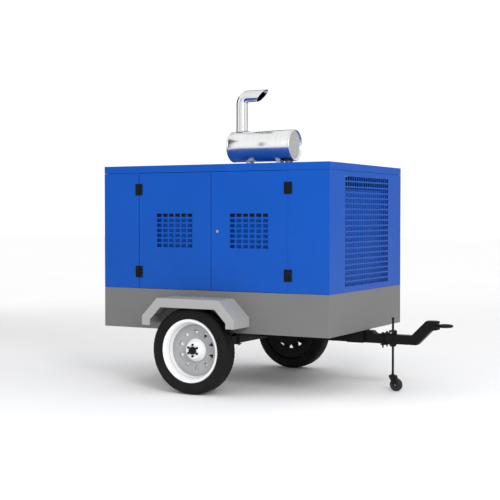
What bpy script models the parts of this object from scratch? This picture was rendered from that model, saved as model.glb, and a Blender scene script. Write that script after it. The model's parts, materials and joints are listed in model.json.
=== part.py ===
"""Towable diesel generator: a sheet-metal canopy and base on a single-axle trailer.

Metres, +Z up, standing on Z = 0, +X towards the towing ring. The origin lies under the middle of
the overall length and width, so the canopy's own middle is at X = BODY_X. Right means -Y.
Build it with: blender --background --python part.py
"""

import math

import bmesh
import bpy
from mathutils import Matrix, Vector

# ---- driving dimensions -------------------------------------------------------------------------
GAP = 0.0003  # left between pieces that touch

# ground up: tyre, torsion axle, ladder chassis, base, canopy
TYRE_RADIUS = 0.360
TYRE_WIDTH = 0.170
ARM_DROP = 0.055  # wheel centre below the axle tube's centre
ARM_TRAIL = 0.120  # wheel centre behind the axle tube's centre
AXLE_TUBE = 0.070
AXLE_WALL = 0.006
AXLE_PAD = 0.028
CHASSIS_DEPTH = 0.027
CHASSIS_MEMBER = 0.060
CHASSIS_HALF_WIDTH = 0.480
BASE_HEIGHT = 0.342
BASE_SHEET = 0.004
BASE_LIP = 0.040
CANOPY_HEIGHT = 1.058
ROOF_DEPTH = 0.061
SHEET = 0.003

BODY_LENGTH = 2.172
BODY_WIDTH = 1.550
HITCH_REACH = 0.757  # foremost point of the towing ring, ahead of the body

# doors
SEAM = 0.005
DOOR_SPLIT = 0.720  # hinge seams, from the body's middle
DOOR_DEPTH = 0.025
VENT_WIDTH = 0.357
VENT_ROWS = 7
VENT_PITCH = 0.0428
VENT_SLOT = 0.0300
VENT_MIDDLE = 0.5035  # above the base's top
HINGE_WIDTH = 0.072
HINGE_HEIGHT = 0.098
HINGE_LEAF = 0.004
PIN_RADIUS = 0.006
PIN_CLEAR = 0.0005
HINGE_UPPER = 0.144  # below the roof seam
HINGE_LOWER = 0.145  # above the base's top
LOCK_RADIUS = 0.012
LOCK_INSET = 0.060

# front grille and the baffle behind it
GRILLE_WIDTH = 0.935
GRILLE_ROWS = 20
GRILLE_PITCH = 0.0456
GRILLE_SLOT = 0.0320
GRILLE_BOTTOM = 0.044
BAFFLE_DEPTH = 0.062
BAFFLE_HEIGHT = 0.850
BAFFLE_HALF_WIDTH = 0.500

# wheels and fenders
WHEEL_X = -0.075  # from the body's middle
WHEEL_GAP = 0.070  # body side to tyre
RIM_FLANGE = 0.2645
RIM_VENTS = 10
DISC = -0.045  # vented disc's face, inwards of the wheel's middle
HAT_ROOT = 0.098
HAT_TOP = 0.066
VENT_TURN = math.radians(19.1)  # first vent's place round the wheel, off the facets' edges
VENT_APEX = 0.136
VENT_BASE = 0.176
VENT_SPREAD = 0.125
FENDER_WIDTH = 0.265
FENDER_HALF_LENGTH = 0.441
FENDER_HALF_TOP = 0.293
FENDER_HEADROOM = 0.072
FENDER_SLOPE = 0.153
FENDER_LIP = 0.076
FENDER_BAND = 0.076
FENDER_SHEET = 0.003

# drawbar, gooseneck, ring
DRAWBAR = 0.078
DRAWBAR_REACH = 0.384
SOCKET_LENGTH = 0.150
SOCKET_WIDTH = 0.158
ELBOW_RUN = 0.072
NECK_END = 0.616
NECK_RISE = 0.130
RING_RADIUS = 0.0675
RING_BORE = 0.038
RING_THICK = 0.024
RING_PLATE = 0.012

# prop stand: a rod that slides in a clamped sleeve
JACK_REACH = 0.234
ROD_RADIUS = 0.0095
ROD_TOP = 0.620
ROD_KNOB = 0.008
SLEEVE_RADIUS = 0.030
SLEEVE_CLEAR = 0.0008
COLLAR_RADIUS = 0.034
COLLAR_HEIGHT = 0.034
COLLAR_DROP = 0.024
COLLAR_TAPER = 0.010
SCREW_RADIUS = 0.006
SCREW_HEAD = 0.010
SCREW_HEAD_LENGTH = 0.012
SCREW_REACH = 0.052
CASTER_RADIUS = 0.055
CASTER_WIDTH = 0.034
CASTER_TRAIL = 0.030
FORK_TOP = 0.1345

# exhaust
MUFFLER_RADIUS = 0.140
MUFFLER_REAR = -0.220
MUFFLER_FRONT = 0.406
MUFFLER_LIFT = 0.049
MUFFLER_WALL = 0.003
SADDLES = {"rear": -0.050, "front": 0.250}
SADDLE_WIDTH = 0.040
TAIL_X = -0.130
TAIL_RADIUS = 0.054
TAIL_WALL = 0.003
TAIL_RISE = 0.449  # muffler's axis to the outlet's axis
TAIL_BEND = 0.068
TAIL_TIP = 0.127
RISER_X = 0.340
RISER_RADIUS = 0.035
RISER_HOLE = 0.050

# power set, from the radiator backwards
RADIATOR_SETBACK = 0.280
RADIATOR_DEPTH = 0.050
RADIATOR_WIDTH = 0.860
RADIATOR_HEIGHT = 0.780
SHROUD_DEPTH = 0.060
FAN_RADIUS = 0.235
FAN_TIP_GAP = 0.012
FAN_ABOVE_CRANK = 0.240
FAN_ROOM = 0.090  # shroud's back to the engine block
CRANK_HEIGHT = 0.253  # above the base's top
PULLEY_RADIUS = 0.080
BLOCK_LENGTH = 0.460
BLOCK_WIDTH = 0.240
BLOCK_BELOW = 0.080
BLOCK_ABOVE = 0.260
HEAD_HEIGHT = 0.160
HEAD_WIDTH = 0.200
HOUSING_RADIUS = 0.200
HOUSING_LENGTH = 0.080
ALTERNATOR_RADIUS = 0.170
ALTERNATOR_LENGTH = 0.500
BED_DEPTH = 0.040
BED_RAIL = 0.050
BED_RAIL_Y = 0.220

# fuel, air, electrics
TANK_LENGTH = 1.200
TANK_WIDTH = 0.800
TANK_HEIGHT = 0.271
NECK_X = -0.550
NECK_Y = -0.340
NECK_RADIUS = 0.035
NECK_HEIGHT = 0.450
CAP_RADIUS = 0.045
CAP_HEIGHT = 0.025
FILTER_RADIUS = 0.090
FILTER_LENGTH = 0.420
FILTER_Y = 0.400
HOOP_WIDTH = 0.060
HOOP_POST = 0.030
HOOP_BEAM = 0.040
BATTERY = (0.175, 0.260, 0.200)
PANEL_HALF_WIDTH = 0.400
PANEL_BOTTOM = 0.153
PANEL_HEIGHT = 0.700
PANEL_RECESS = 0.060
PANEL_DEPTH = 0.200
PANEL_RIM = 0.030
STOP_PROUD = 0.030
STOP_Y = 0.600
STOP_Z = 0.600

# ---- levels and planes that follow --------------------------------------------------------------
BODY_X = (STOP_PROUD - HITCH_REACH) / 2
FRONT = BODY_X + BODY_LENGTH / 2
REAR = BODY_X - BODY_LENGTH / 2
SIDE = BODY_WIDTH / 2

WHEEL_Z = TYRE_RADIUS
AXLE_Z = WHEEL_Z + ARM_DROP
AXLE_X = BODY_X + WHEEL_X + ARM_TRAIL
CHASSIS_BOTTOM = AXLE_Z + AXLE_TUBE / 2 + AXLE_PAD
BASE_BOTTOM = CHASSIS_BOTTOM + CHASSIS_DEPTH
BASE_TOP = BASE_BOTTOM + BASE_HEIGHT
ROOF_TOP = BASE_TOP + CANOPY_HEIGHT
ROOF_SEAM = ROOF_TOP - ROOF_DEPTH

TYRE_INNER = SIDE + WHEEL_GAP
WHEEL_Y = TYRE_INNER + TYRE_WIDTH / 2
TUBE_END = SIDE - 0.075
ARM_OUTER = TUBE_END + 0.035

BAR_TOP = CHASSIS_BOTTOM - GAP
BAR_BOTTOM = BAR_TOP - DRAWBAR
BAR_END = FRONT + DRAWBAR_REACH
JACK_X = FRONT + JACK_REACH
RING_X = FRONT + HITCH_REACH - RING_RADIUS
RING_Z = BAR_TOP + NECK_RISE - DRAWBAR / 2

MUFFLER_Z = ROOF_TOP + MUFFLER_LIFT + MUFFLER_RADIUS
OUTLET_Z = MUFFLER_Z + TAIL_RISE

RADIATOR_X = FRONT - RADIATOR_SETBACK
SHROUD_X = RADIATOR_X - RADIATOR_DEPTH - GAP
BLOCK_X = SHROUD_X - SHROUD_DEPTH - FAN_ROOM
HOUSING_X = BLOCK_X - BLOCK_LENGTH
ALTERNATOR_X = HOUSING_X - HOUSING_LENGTH - GAP
BED_REAR = ALTERNATOR_X - ALTERNATOR_LENGTH - 0.040
BED_TOP = BASE_TOP + GAP + BED_DEPTH
CRANK_Z = BASE_TOP + CRANK_HEIGHT
FAN_Z = CRANK_Z + FAN_ABOVE_CRANK
HOOP_INNER = SIDE - DOOR_DEPTH - GAP - HOOP_POST
BEAM_BOTTOM = ROOF_TOP - SHEET - GAP - HOOP_BEAM

PANEL_Z = BASE_TOP + PANEL_BOTTOM
PANEL_FACE = REAR + PANEL_RECESS
REAR_HINGE_Y = -PANEL_HALF_WIDTH

# name: (red, green, blue in sRGB 0-255, roughness, metallic)
FINISHES = {
    "canopy_blue": (29, 89, 186, 0.38, 0.0),
    "base_grey": (126, 128, 131, 0.45, 0.0),
    "fender_grey": (146, 148, 150, 0.45, 0.0),
    "chassis_black": (26, 26, 27, 0.50, 0.0),
    "rim_white": (236, 238, 240, 0.35, 0.0),
    "rubber": (27, 28, 30, 0.85, 0.0),
    "stainless": (198, 200, 203, 0.18, 1.0),
    "bright_steel": (170, 172, 175, 0.30, 1.0),
    "engine_green": (58, 72, 66, 0.50, 0.2),
    "cast_alloy": (150, 151, 150, 0.50, 0.8),
    "core_black": (34, 35, 37, 0.65, 0.3),
    "tank_black": (40, 41, 43, 0.60, 0.0),
    "panel_grey": (196, 198, 200, 0.40, 0.0),
    "stop_red": (190, 24, 22, 0.35, 0.0),
}


# ---- meshes --------------------------------------------------------------------------------------
def slab(corner, opposite):
    """A box between two opposite corners, given in any order."""
    size = [abs(b - a) for a, b in zip(corner, opposite)]
    middle = [(a + b) / 2 for a, b in zip(corner, opposite)]
    bm = bmesh.new()
    place = Matrix.Translation(middle) @ Matrix.Diagonal((*size, 1.0))
    bmesh.ops.create_cube(bm, size=1.0, matrix=place)
    return bm


PLANES = {
    "X": lambda along, u, v: Vector((along, u, v)),
    "Y": lambda along, u, v: Vector((u, along, v)),
    "Z": lambda along, u, v: Vector((u, v, along)),
}


def prism(outline, axis, start, end):
    """The closed outline, in the plane across the axis, extruded from start to end."""
    put = PLANES[axis]
    bm = bmesh.new()
    face = bm.faces.new([bm.verts.new(put(start, u, v)) for u, v in outline])
    grown = bmesh.ops.extrude_face_region(bm, geom=[face])["geom"]
    tops = [item for item in grown if isinstance(item, bmesh.types.BMVert)]
    bmesh.ops.translate(bm, verts=tops, vec=put(end - start, 0.0, 0.0))
    bmesh.ops.recalc_face_normals(bm, faces=bm.faces)
    return bm


def turned(profile, axis, centre, steps=32):
    """The profile of (radius, place along the axis) turned about the axis through centre.

    A profile that starts and ends on the axis makes a solid, and any other one makes a ring.
    """
    put = PLANES[axis]
    bm = bmesh.new()
    points = [bm.verts.new(put(along, centre[0] + radius, centre[1])) for radius, along in profile]
    edges = [bm.edges.new(pair) for pair in zip(points, points[1:])]
    if profile[0][0] > 0.0:
        edges.append(bm.edges.new((points[-1], points[0])))
    bmesh.ops.spin(
        bm,
        geom=points + edges,
        cent=put(0.0, *centre),
        axis=put(1.0, 0.0, 0.0),
        angle=2 * math.pi,
        steps=steps,
        use_merge=True,
    )
    bmesh.ops.remove_doubles(bm, verts=bm.verts, dist=1e-6)
    bmesh.ops.recalc_face_normals(bm, faces=bm.faces)
    return bm


def disc(radius, centre, start=0.0, sweep=2 * math.pi, count=24):
    """Points of an arc, or of a whole circle, as an outline."""
    whole = abs(sweep - 2 * math.pi) < 1e-6
    steps = count if whole else count - 1
    turns = [start + sweep * i / steps for i in range(count)]
    return [(centre[0] + radius * math.cos(a), centre[1] + radius * math.sin(a)) for a in turns]


def rod(axis, centre, radius, start, end, steps=24):
    return prism(disc(radius, centre, count=steps), axis, start, end)


def bent(corners, radius, steps=6):
    """A path through the corners, each rounded to the bend radius."""
    corners = [Vector(c) for c in corners]
    path = [corners[0]]
    for before, corner, after in zip(corners, corners[1:], corners[2:]):
        inward = (before - corner).normalized()
        onward = (after - corner).normalized()
        half = inward.angle(onward) / 2
        middle = corner + (inward + onward).normalized() * (radius / math.sin(half))
        first = corner + inward * (radius / math.tan(half)) - middle
        last = corner + onward * (radius / math.tan(half)) - middle
        path += [middle + first.slerp(last, i / steps) * radius for i in range(steps + 1)]
    return path + [corners[-1]]


def pipe(path, across, radius, bore=0.0, sides=24):
    """A round pipe, or a rod where bore is 0, along a flat path; across is square to its plane."""
    bm = bmesh.new()
    skins = []
    for size in [radius] + ([bore] if bore else []):
        rings = []
        for i, point in enumerate(path):
            run = path[min(i + 1, len(path) - 1)] - path[max(i - 1, 0)]
            up = run.normalized().cross(across)
            turns = [2 * math.pi * k / sides for k in range(sides)]
            rings.append(
                [bm.verts.new(point + size * (across * math.cos(a) + up * math.sin(a))) for a in turns]
            )
        for one, two in zip(rings, rings[1:]):
            for k in range(sides):
                bm.faces.new((one[k - 1], one[k], two[k], two[k - 1]))
        skins.append(rings)
    for end in (0, -1):
        if not bore:
            bm.faces.new(skins[0][end])
            continue
        outer, inner = skins[0][end], skins[1][end]
        for k in range(sides):
            bm.faces.new((outer[k - 1], outer[k], inner[k], inner[k - 1]))
    bmesh.ops.recalc_face_normals(bm, faces=bm.faces)
    return bm


def together(shapes):
    """Several closed shapes as one mesh, to cut or to weld in one go."""
    whole = bmesh.new()
    for shape in shapes:
        mesh = bpy.data.meshes.new("shape")
        shape.to_mesh(mesh)
        shape.free()
        whole.from_mesh(mesh)
        bpy.data.meshes.remove(mesh)
    return whole


# ---- objects -------------------------------------------------------------------------------------
def finish(name):
    known = bpy.data.materials.get(name)
    if known:
        return known
    *colour, roughness, metallic = FINISHES[name]
    made = bpy.data.materials.new(name)
    made.use_nodes = True
    shader = made.node_tree.nodes["Principled BSDF"]
    linear = [((c / 255 + 0.055) / 1.055) ** 2.4 for c in colour]
    shader.inputs["Base Color"].default_value = (*linear, 1.0)
    shader.inputs["Roughness"].default_value = roughness
    shader.inputs["Metallic"].default_value = metallic
    made.diffuse_color = (*linear, 1.0)
    return made


def mesh_object(name, bm, origin=(0.0, 0.0, 0.0)):
    mesh = bpy.data.meshes.new(name)
    bmesh.ops.translate(bm, verts=bm.verts, vec=-Vector(origin))
    bm.to_mesh(mesh)
    bm.free()
    obj = bpy.data.objects.new(name, mesh)
    obj.location = origin
    bpy.context.scene.collection.objects.link(obj)
    return obj


def piece(name, bm, finish_name, origin=(0.0, 0.0, 0.0), round_piece=False):
    """A sub-part. A moving one has its origin on its joint's axis."""
    obj = mesh_object(name, bm, origin)
    obj.data.materials.append(finish(finish_name))
    if round_piece:
        obj.data.shade_smooth()
        obj.data.set_sharp_from_angle(angle=math.radians(40))
    return obj


def boolean(obj, bm, operation):
    tool = mesh_object(f"{obj.name}_{operation.lower()}_{len(obj.modifiers)}", bm)
    tool.hide_render = True
    tool.display_type = "WIRE"
    modifier = obj.modifiers.new(operation.title(), "BOOLEAN")
    modifier.operation = operation
    modifier.object = tool
    modifier.solver = "EXACT"


def cut(obj, *shapes):
    boolean(obj, together(shapes), "DIFFERENCE")


def weld(obj, *shapes):
    for shape in shapes:
        boolean(obj, shape, "UNION")


# ---- base and chassis ----------------------------------------------------------------------------
def make_base():
    base = piece("base_bund", slab((REAR, -SIDE, BASE_BOTTOM), (FRONT, SIDE, BASE_TOP)), "base_grey")
    inside = SIDE - BASE_SHEET
    lip = SIDE - BASE_LIP
    cut(
        base,
        slab(
            (REAR + BASE_SHEET, -inside, BASE_BOTTOM + BASE_SHEET),
            (FRONT - BASE_SHEET, inside, BASE_TOP - BASE_SHEET),
        ),
    )
    cut(
        base,
        slab(
            (REAR + BASE_LIP, -lip, BASE_TOP - 2 * BASE_SHEET),
            (FRONT - BASE_LIP, lip, BASE_TOP + BASE_SHEET),
        ),
    )


def make_tank():
    bottom = BASE_BOTTOM + BASE_SHEET + GAP
    half = TANK_LENGTH / 2
    tank = piece(
        "fuel_tank",
        slab(
            (BODY_X - half, -TANK_WIDTH / 2, bottom), (BODY_X + half, TANK_WIDTH / 2, bottom + TANK_HEIGHT)
        ),
        "tank_black",
    )
    neck = (BODY_X + NECK_X, NECK_Y)
    weld(tank, rod("Z", neck, NECK_RADIUS, bottom + TANK_HEIGHT / 2, bottom + NECK_HEIGHT))
    top = bottom + NECK_HEIGHT + GAP
    cap = piece(
        "fuel_cap",
        rod("Z", neck, CAP_RADIUS, top, top + CAP_HEIGHT, 32),
        "core_black",
        origin=(*neck, top),
    )
    grip = CAP_HEIGHT + 0.010
    bar = [(neck[0] + turn * 0.035, neck[1] + turn * 0.006) for turn in (-1, 1)]
    weld(cap, slab((*bar[0], top + 0.010), (*bar[1], top + grip)))


def make_chassis():
    """A ladder of flat box members, the drawbar's socket under its nose and the drawbar itself."""
    rear = REAR + 0.140
    front = FRONT - SOCKET_LENGTH - 0.016
    half = CHASSIS_HALF_WIDTH
    frame = piece(
        "chassis_frame",
        slab((rear, -half, CHASSIS_BOTTOM), (front, half, BASE_BOTTOM - GAP)),
        "chassis_black",
    )
    bays = 3
    pitch = (front - rear - CHASSIS_MEMBER) / bays
    low, high = CHASSIS_BOTTOM - 0.01, BASE_BOTTOM + 0.01
    inner = half - CHASSIS_MEMBER
    starts = [rear + CHASSIS_MEMBER + pitch * i for i in range(bays)]
    cut(frame, *[slab((x, -inner, low), (x + pitch - CHASSIS_MEMBER, inner, high)) for x in starts])

    outer = SOCKET_WIDTH / 2
    inner = DRAWBAR / 2 + GAP
    top = BASE_BOTTOM - GAP
    outline = [
        (-outer, BAR_BOTTOM), (-outer, top), (outer, top), (outer, BAR_BOTTOM),
        (inner, BAR_BOTTOM), (inner, BAR_TOP + GAP), (-inner, BAR_TOP + GAP), (-inner, BAR_BOTTOM),
    ]
    piece(
        "drawbar_socket",
        prism(outline, "X", FRONT - SOCKET_LENGTH - 0.006, FRONT - 0.006),
        "chassis_black",
    )

    bar_start = AXLE_X + AXLE_TUBE / 2 + GAP
    bar = piece(
        "drawbar",
        slab((bar_start, -DRAWBAR / 2, BAR_BOTTOM), (BAR_END, DRAWBAR / 2, BAR_TOP)),
        "chassis_black",
    )
    cut(bar, rod("Z", (JACK_X, 0.0), SLEEVE_RADIUS + GAP, BAR_BOTTOM - 0.01, BAR_TOP + 0.01, 32))


def make_hitch():
    """The cranked neck that lifts the towing ring above the drawbar."""
    elbow = BAR_END + GAP + ELBOW_RUN
    inner_elbow = BAR_END + GAP + ELBOW_RUN - DRAWBAR * math.tan(math.radians(22.5)) - 0.016
    end = FRONT + NECK_END
    low, high = BAR_BOTTOM + NECK_RISE, BAR_TOP + NECK_RISE
    outline = [
        (BAR_END + GAP, BAR_BOTTOM), (elbow, BAR_BOTTOM), (elbow + NECK_RISE, low), (end, low),
        (end, high), (inner_elbow + NECK_RISE, high), (inner_elbow, BAR_TOP), (BAR_END + GAP, BAR_TOP),
    ]
    piece("gooseneck", prism(outline, "Y", -DRAWBAR / 2, DRAWBAR / 2), "chassis_black")

    half = RING_THICK / 2
    soft = 0.005
    profile = [
        (RING_BORE, RING_Z - half + soft), (RING_BORE + soft, RING_Z - half),
        (RING_RADIUS - soft, RING_Z - half), (RING_RADIUS, RING_Z - half + soft),
        (RING_RADIUS, RING_Z + half - soft), (RING_RADIUS - soft, RING_Z + half),
        (RING_BORE + soft, RING_Z + half), (RING_BORE, RING_Z + half - soft),
    ]
    ring = piece("tow_ring", turned(profile, "Z", (RING_X, 0.0), 28), "chassis_black", round_piece=True)
    plate = end + GAP
    weld(
        ring,
        slab(
            (plate, -DRAWBAR / 2, low + 0.002), (plate + RING_PLATE, DRAWBAR / 2, high - 0.002)
        ),
        slab(
            (plate + RING_PLATE / 2, -0.026, RING_Z - 0.011),
            (RING_X - RING_BORE - 0.006, 0.026, RING_Z + 0.011),
        ),
    )


# ---- axle, wheels, fenders -----------------------------------------------------------------------
def make_axle():
    half = AXLE_TUBE / 2
    rail = CHASSIS_HALF_WIDTH - CHASSIS_MEMBER
    tube_top, pad_top = AXLE_Z + half, CHASSIS_BOTTOM - GAP
    outline = [(-TUBE_END, AXLE_Z - half), (TUBE_END, AXLE_Z - half), (TUBE_END, tube_top)]
    for side in (1, -1):
        edges = (CHASSIS_HALF_WIDTH, rail) if side > 0 else (-rail, -CHASSIS_HALF_WIDTH)
        outline += [(edges[0], tube_top), (edges[0], pad_top), (edges[1], pad_top), (edges[1], tube_top)]
    outline.append((-TUBE_END, tube_top))
    tube = piece("axle_tube", prism(outline, "X", AXLE_X - half, AXLE_X + half), "chassis_black")
    bore = half - AXLE_WALL
    cut(
        tube,
        slab(
            (AXLE_X - bore, -TUBE_END - 0.01, AXLE_Z - bore),
            (AXLE_X + bore, TUBE_END + 0.01, AXLE_Z + bore),
        ),
    )


def link(start, start_radius, end, end_radius, count=12):
    """The outline of a flat arm between two round ends."""
    (x0, z0), (x1, z1) = start, end
    lean = math.atan2(z1 - z0, x1 - x0)
    reach = math.acos((start_radius - end_radius) / math.hypot(x1 - x0, z1 - z0))
    back = disc(start_radius, start, lean + reach, 2 * (math.pi - reach), count)
    return back + disc(end_radius, end, lean - reach, 2 * reach, count)


def make_arm(side, hand):
    pivot, wheel = (AXLE_X, AXLE_Z), (BODY_X + WHEEL_X, WHEEL_Z)
    arm = piece(
        f"swing_arm_{hand}",
        prism(link(pivot, 0.044, wheel, 0.036), "Y", side * (TUBE_END + GAP), side * ARM_OUTER),
        "chassis_black",
        origin=(AXLE_X, side * TUBE_END, AXLE_Z),
    )
    core = 0.016
    weld(
        arm,
        slab(
            (AXLE_X - core, side * (TUBE_END - 0.140), AXLE_Z - core),
            (AXLE_X + core, side * (TUBE_END + 0.010), AXLE_Z + core),
        ),
        rod("Y", wheel, 0.020, side * (ARM_OUTER - 0.010), side * (WHEEL_Y + 0.003)),
    )


def make_wheel(side, hand):
    """Hub, dished disc rim and tyre. Profiles run along the wheel's axis, outwards positive."""
    centre = (BODY_X + WHEEL_X, WHEEL_Z)
    origin = (centre[0], side * WHEEL_Y, centre[1])

    def outward(profile):
        return [(radius, side * (WHEEL_Y + along)) for radius, along in profile]

    hub = [
        (0.0, 0.0045), (0.0205, 0.0045), (0.0205, -0.125), (0.040, -0.125), (0.040, -0.005),
        (0.048, -0.005), (0.048, 0.0077), (0.032, 0.0077), (0.032, 0.032), (0.027, 0.038), (0.0, 0.038),
    ]
    piece(f"hub_{hand}", turned(outward(hub), "Y", centre, 24), "bright_steel", origin, True)

    edge = RIM_FLANGE
    half = [(edge, 0.066), (edge, 0.058), (edge - 0.0245, 0.050), (edge - 0.0395, 0.020)]
    barrel = half + [(radius, -along) for radius, along in reversed(half)]
    well = edge - 0.0445
    dish = [
        (edge - 0.020, -0.066), (well, DISC - 0.017), (HAT_ROOT, DISC - 0.012), (HAT_TOP - 0.004, 0.008),
        (0.0325, 0.008), (0.0325, 0.014), (HAT_TOP, 0.014), (HAT_ROOT + 0.006, DISC), (well - 0.030, DISC),
        (well, DISC + 0.025), (edge - 0.020, 0.066),
    ]
    rim = piece(f"rim_{hand}", turned(outward(barrel + dish), "Y", centre, 36), "rim_white", origin, True)
    vents = []
    for k in range(RIM_VENTS):
        turn = 2 * math.pi * k / RIM_VENTS + VENT_TURN
        corners = [(VENT_APEX, 0.0), (VENT_BASE, VENT_SPREAD), (VENT_BASE, -VENT_SPREAD)]
        outline = [
            (centre[0] + r * math.cos(turn + spread), centre[1] + r * math.sin(turn + spread))
            for r, spread in corners
        ]
        vents.append(prism(outline, "Y", side * (WHEEL_Y + DISC - 0.030), side * (WHEEL_Y + DISC + 0.010)))
    cut(rim, *vents)

    seat = edge - 0.0235
    widest = TYRE_WIDTH / 2
    wall = [
        (seat, 0.038), (seat, 0.0490), (edge + 0.001, 0.0570), (edge + 0.0055, 0.074),
        (edge + 0.036, widest), (TYRE_RADIUS - 0.020, widest - 0.006), (TYRE_RADIUS, widest - 0.028),
    ]
    inside = [(edge + 0.001, 0.045), (TYRE_RADIUS - 0.026, widest - 0.020)]
    profile = wall + [(radius, -along) for radius, along in reversed(wall)]
    profile += [(radius, -along) for radius, along in inside] + list(reversed(inside))
    piece(f"tyre_{hand}", turned(outward(profile), "Y", centre, 36), "rubber", origin, True)


def make_fender(side, hand):
    """A folded cover with a band down its outer face. Outlines run about the wheel's middle."""
    middle = BODY_X + WHEEL_X
    top = WHEEL_Z + TYRE_RADIUS + FENDER_HEADROOM

    def arch(inset, drop, foot):
        half_length, half_top = FENDER_HALF_LENGTH - inset, FENDER_HALF_TOP - drop * 0.6
        shoulder = top - FENDER_SLOPE - drop * 0.45
        end = middle + half_length
        right = [(end, foot), (end, shoulder), (middle + half_top, top - drop)]
        return right + [(2 * middle - x, z) for x, z in reversed(right)]

    foot = top - FENDER_SLOPE - FENDER_LIP
    fender = piece(
        f"fender_{hand}",
        prism(arch(0.0, 0.0, foot), "Y", side * (SIDE + GAP), side * (SIDE + FENDER_WIDTH)),
        "fender_grey",
    )
    cut(
        fender,
        prism(
            arch(FENDER_SHEET, FENDER_SHEET, foot - 0.02),
            "Y",
            side * (SIDE - 0.02),
            side * (SIDE + FENDER_WIDTH - FENDER_SHEET),
        ),
    )
    cut(
        fender,
        prism(
            arch(FENDER_BAND, FENDER_BAND, foot - 0.02),
            "Y",
            side * (SIDE + FENDER_WIDTH - 0.02),
            side * (SIDE + FENDER_WIDTH + 0.02),
        ),
    )


# ---- prop stand ----------------------------------------------------------------------------------
def make_jack():
    """A rod with a caster, held in the drawbar's sleeve by a screw through the upper collar."""
    axis = (JACK_X, 0.0)
    collar_top, collar_bottom = BAR_TOP + GAP, BAR_BOTTOM - GAP
    top, bottom = collar_top + COLLAR_HEIGHT, collar_bottom - COLLAR_DROP
    bore = ROD_RADIUS + SLEEVE_CLEAR
    profile = [
        (bore, bottom), (COLLAR_RADIUS - COLLAR_TAPER, bottom), (COLLAR_RADIUS, collar_bottom),
        (SLEEVE_RADIUS, collar_bottom), (SLEEVE_RADIUS, collar_top), (COLLAR_RADIUS, collar_top),
        (COLLAR_RADIUS, top), (bore, top),
    ]
    sleeve = piece("jack_sleeve", turned(profile, "Z", axis, 20), "chassis_black", round_piece=True)
    screw_z = collar_top + COLLAR_HEIGHT / 2
    screw_at = (JACK_X, screw_z)
    cut(sleeve, rod("Y", screw_at, SCREW_RADIUS + GAP, -COLLAR_RADIUS - 0.01, 0.0, 12))
    tip = -bore
    neck = SCREW_HEAD_LENGTH - SCREW_REACH
    screw = piece(
        "clamp_screw",
        rod("Y", screw_at, SCREW_RADIUS, tip, neck - 0.001, 12),
        "bright_steel",
        origin=(JACK_X, tip, screw_z),
    )
    weld(screw, rod("Y", screw_at, SCREW_HEAD, neck, -SCREW_REACH, 6))

    foot = FORK_TOP + GAP
    profile = [
        (0.0, foot), (0.014, foot), (0.014, foot + 0.010), (ROD_RADIUS, foot + 0.010),
        (ROD_RADIUS, ROD_TOP - ROD_KNOB), (0.013, ROD_TOP - ROD_KNOB), (0.013, ROD_TOP), (0.0, ROD_TOP),
    ]
    piece("jack_leg", turned(profile, "Z", axis, 16), "chassis_black", (*axis, foot), True)

    wheel = (JACK_X + CASTER_TRAIL, CASTER_RADIUS)
    outline = [
        (JACK_X - 0.026, FORK_TOP), (JACK_X - 0.026, FORK_TOP - 0.016),
        (wheel[0] - 0.014, wheel[1] - 0.010), (wheel[0] + 0.014, wheel[1] - 0.010),
        (wheel[0] + 0.014, wheel[1] + 0.030), (JACK_X + 0.026, FORK_TOP),
    ]
    inner = CASTER_WIDTH / 2 + 0.003
    outer = inner + 0.005
    fork = piece("caster_fork", prism(outline, "Y", -outer, outer), "bright_steel", (*axis, FORK_TOP))
    cut(fork, slab((JACK_X - 0.06, -inner, 0.0), (wheel[0] + 0.06, inner, FORK_TOP - 0.010)))
    cut(fork, rod("Y", wheel, 0.0055, -outer - 0.01, outer + 0.01, 16))
    half, soft, pin = CASTER_WIDTH / 2, 0.005, outer + 0.004
    profile = [
        (0.0, -pin), (0.005, -pin), (0.005, -half), (CASTER_RADIUS - soft, -half),
        (CASTER_RADIUS, soft - half), (CASTER_RADIUS, half - soft), (CASTER_RADIUS - soft, half),
        (0.005, half), (0.005, pin), (0.0, pin),
    ]
    piece("caster_wheel", turned(profile, "Y", wheel, 24), "rubber", (wheel[0], 0.0, wheel[1]), True)


# ---- canopy --------------------------------------------------------------------------------------
def hinge_half(obj, pin, along, out, heights, upper):
    """Weld a leaf and its half of the knuckle to a sheet, for each height.

    pin is the axis in plan, along points from it over the sheet and out points away from it.
    """
    pin, along, out = Vector(pin), Vector(along), Vector(out)
    level = -(PIN_RADIUS + PIN_CLEAR)

    def plan(corners):
        return [tuple(pin + along * t + out * n) for t, n in corners]

    clear = PIN_RADIUS + 0.002
    leaf = [(clear, level - 0.001), (HINGE_WIDTH / 2, level - 0.001)]
    leaf += [(HINGE_WIDTH / 2, level + HINGE_LEAF), (clear, level + HINGE_LEAF)]
    web = [(0.0, level + PIN_CLEAR), (clear + 0.004, level + PIN_CLEAR)]
    web += [(clear + 0.004, level + HINGE_LEAF - 0.0005), (0.0, level + HINGE_LEAF - 0.0005)]
    for z in heights:
        low, high = (z + 0.0005, z + HINGE_HEIGHT / 2) if upper else (z - HINGE_HEIGHT / 2, z - 0.0005)
        weld(
            obj,
            prism(plan(leaf), "Z", z - HINGE_HEIGHT / 2, z + HINGE_HEIGHT / 2),
            prism(plan(web), "Z", low + 0.001, high - 0.001),
            rod("Z", pin, PIN_RADIUS, low, high, 10),
        )


def side_hinges(side, end):
    pin = (BODY_X + end * DOOR_SPLIT, side * (SIDE + PIN_RADIUS + PIN_CLEAR))
    return pin, (ROOF_SEAM - HINGE_UPPER, BASE_TOP + HINGE_LOWER)


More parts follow.
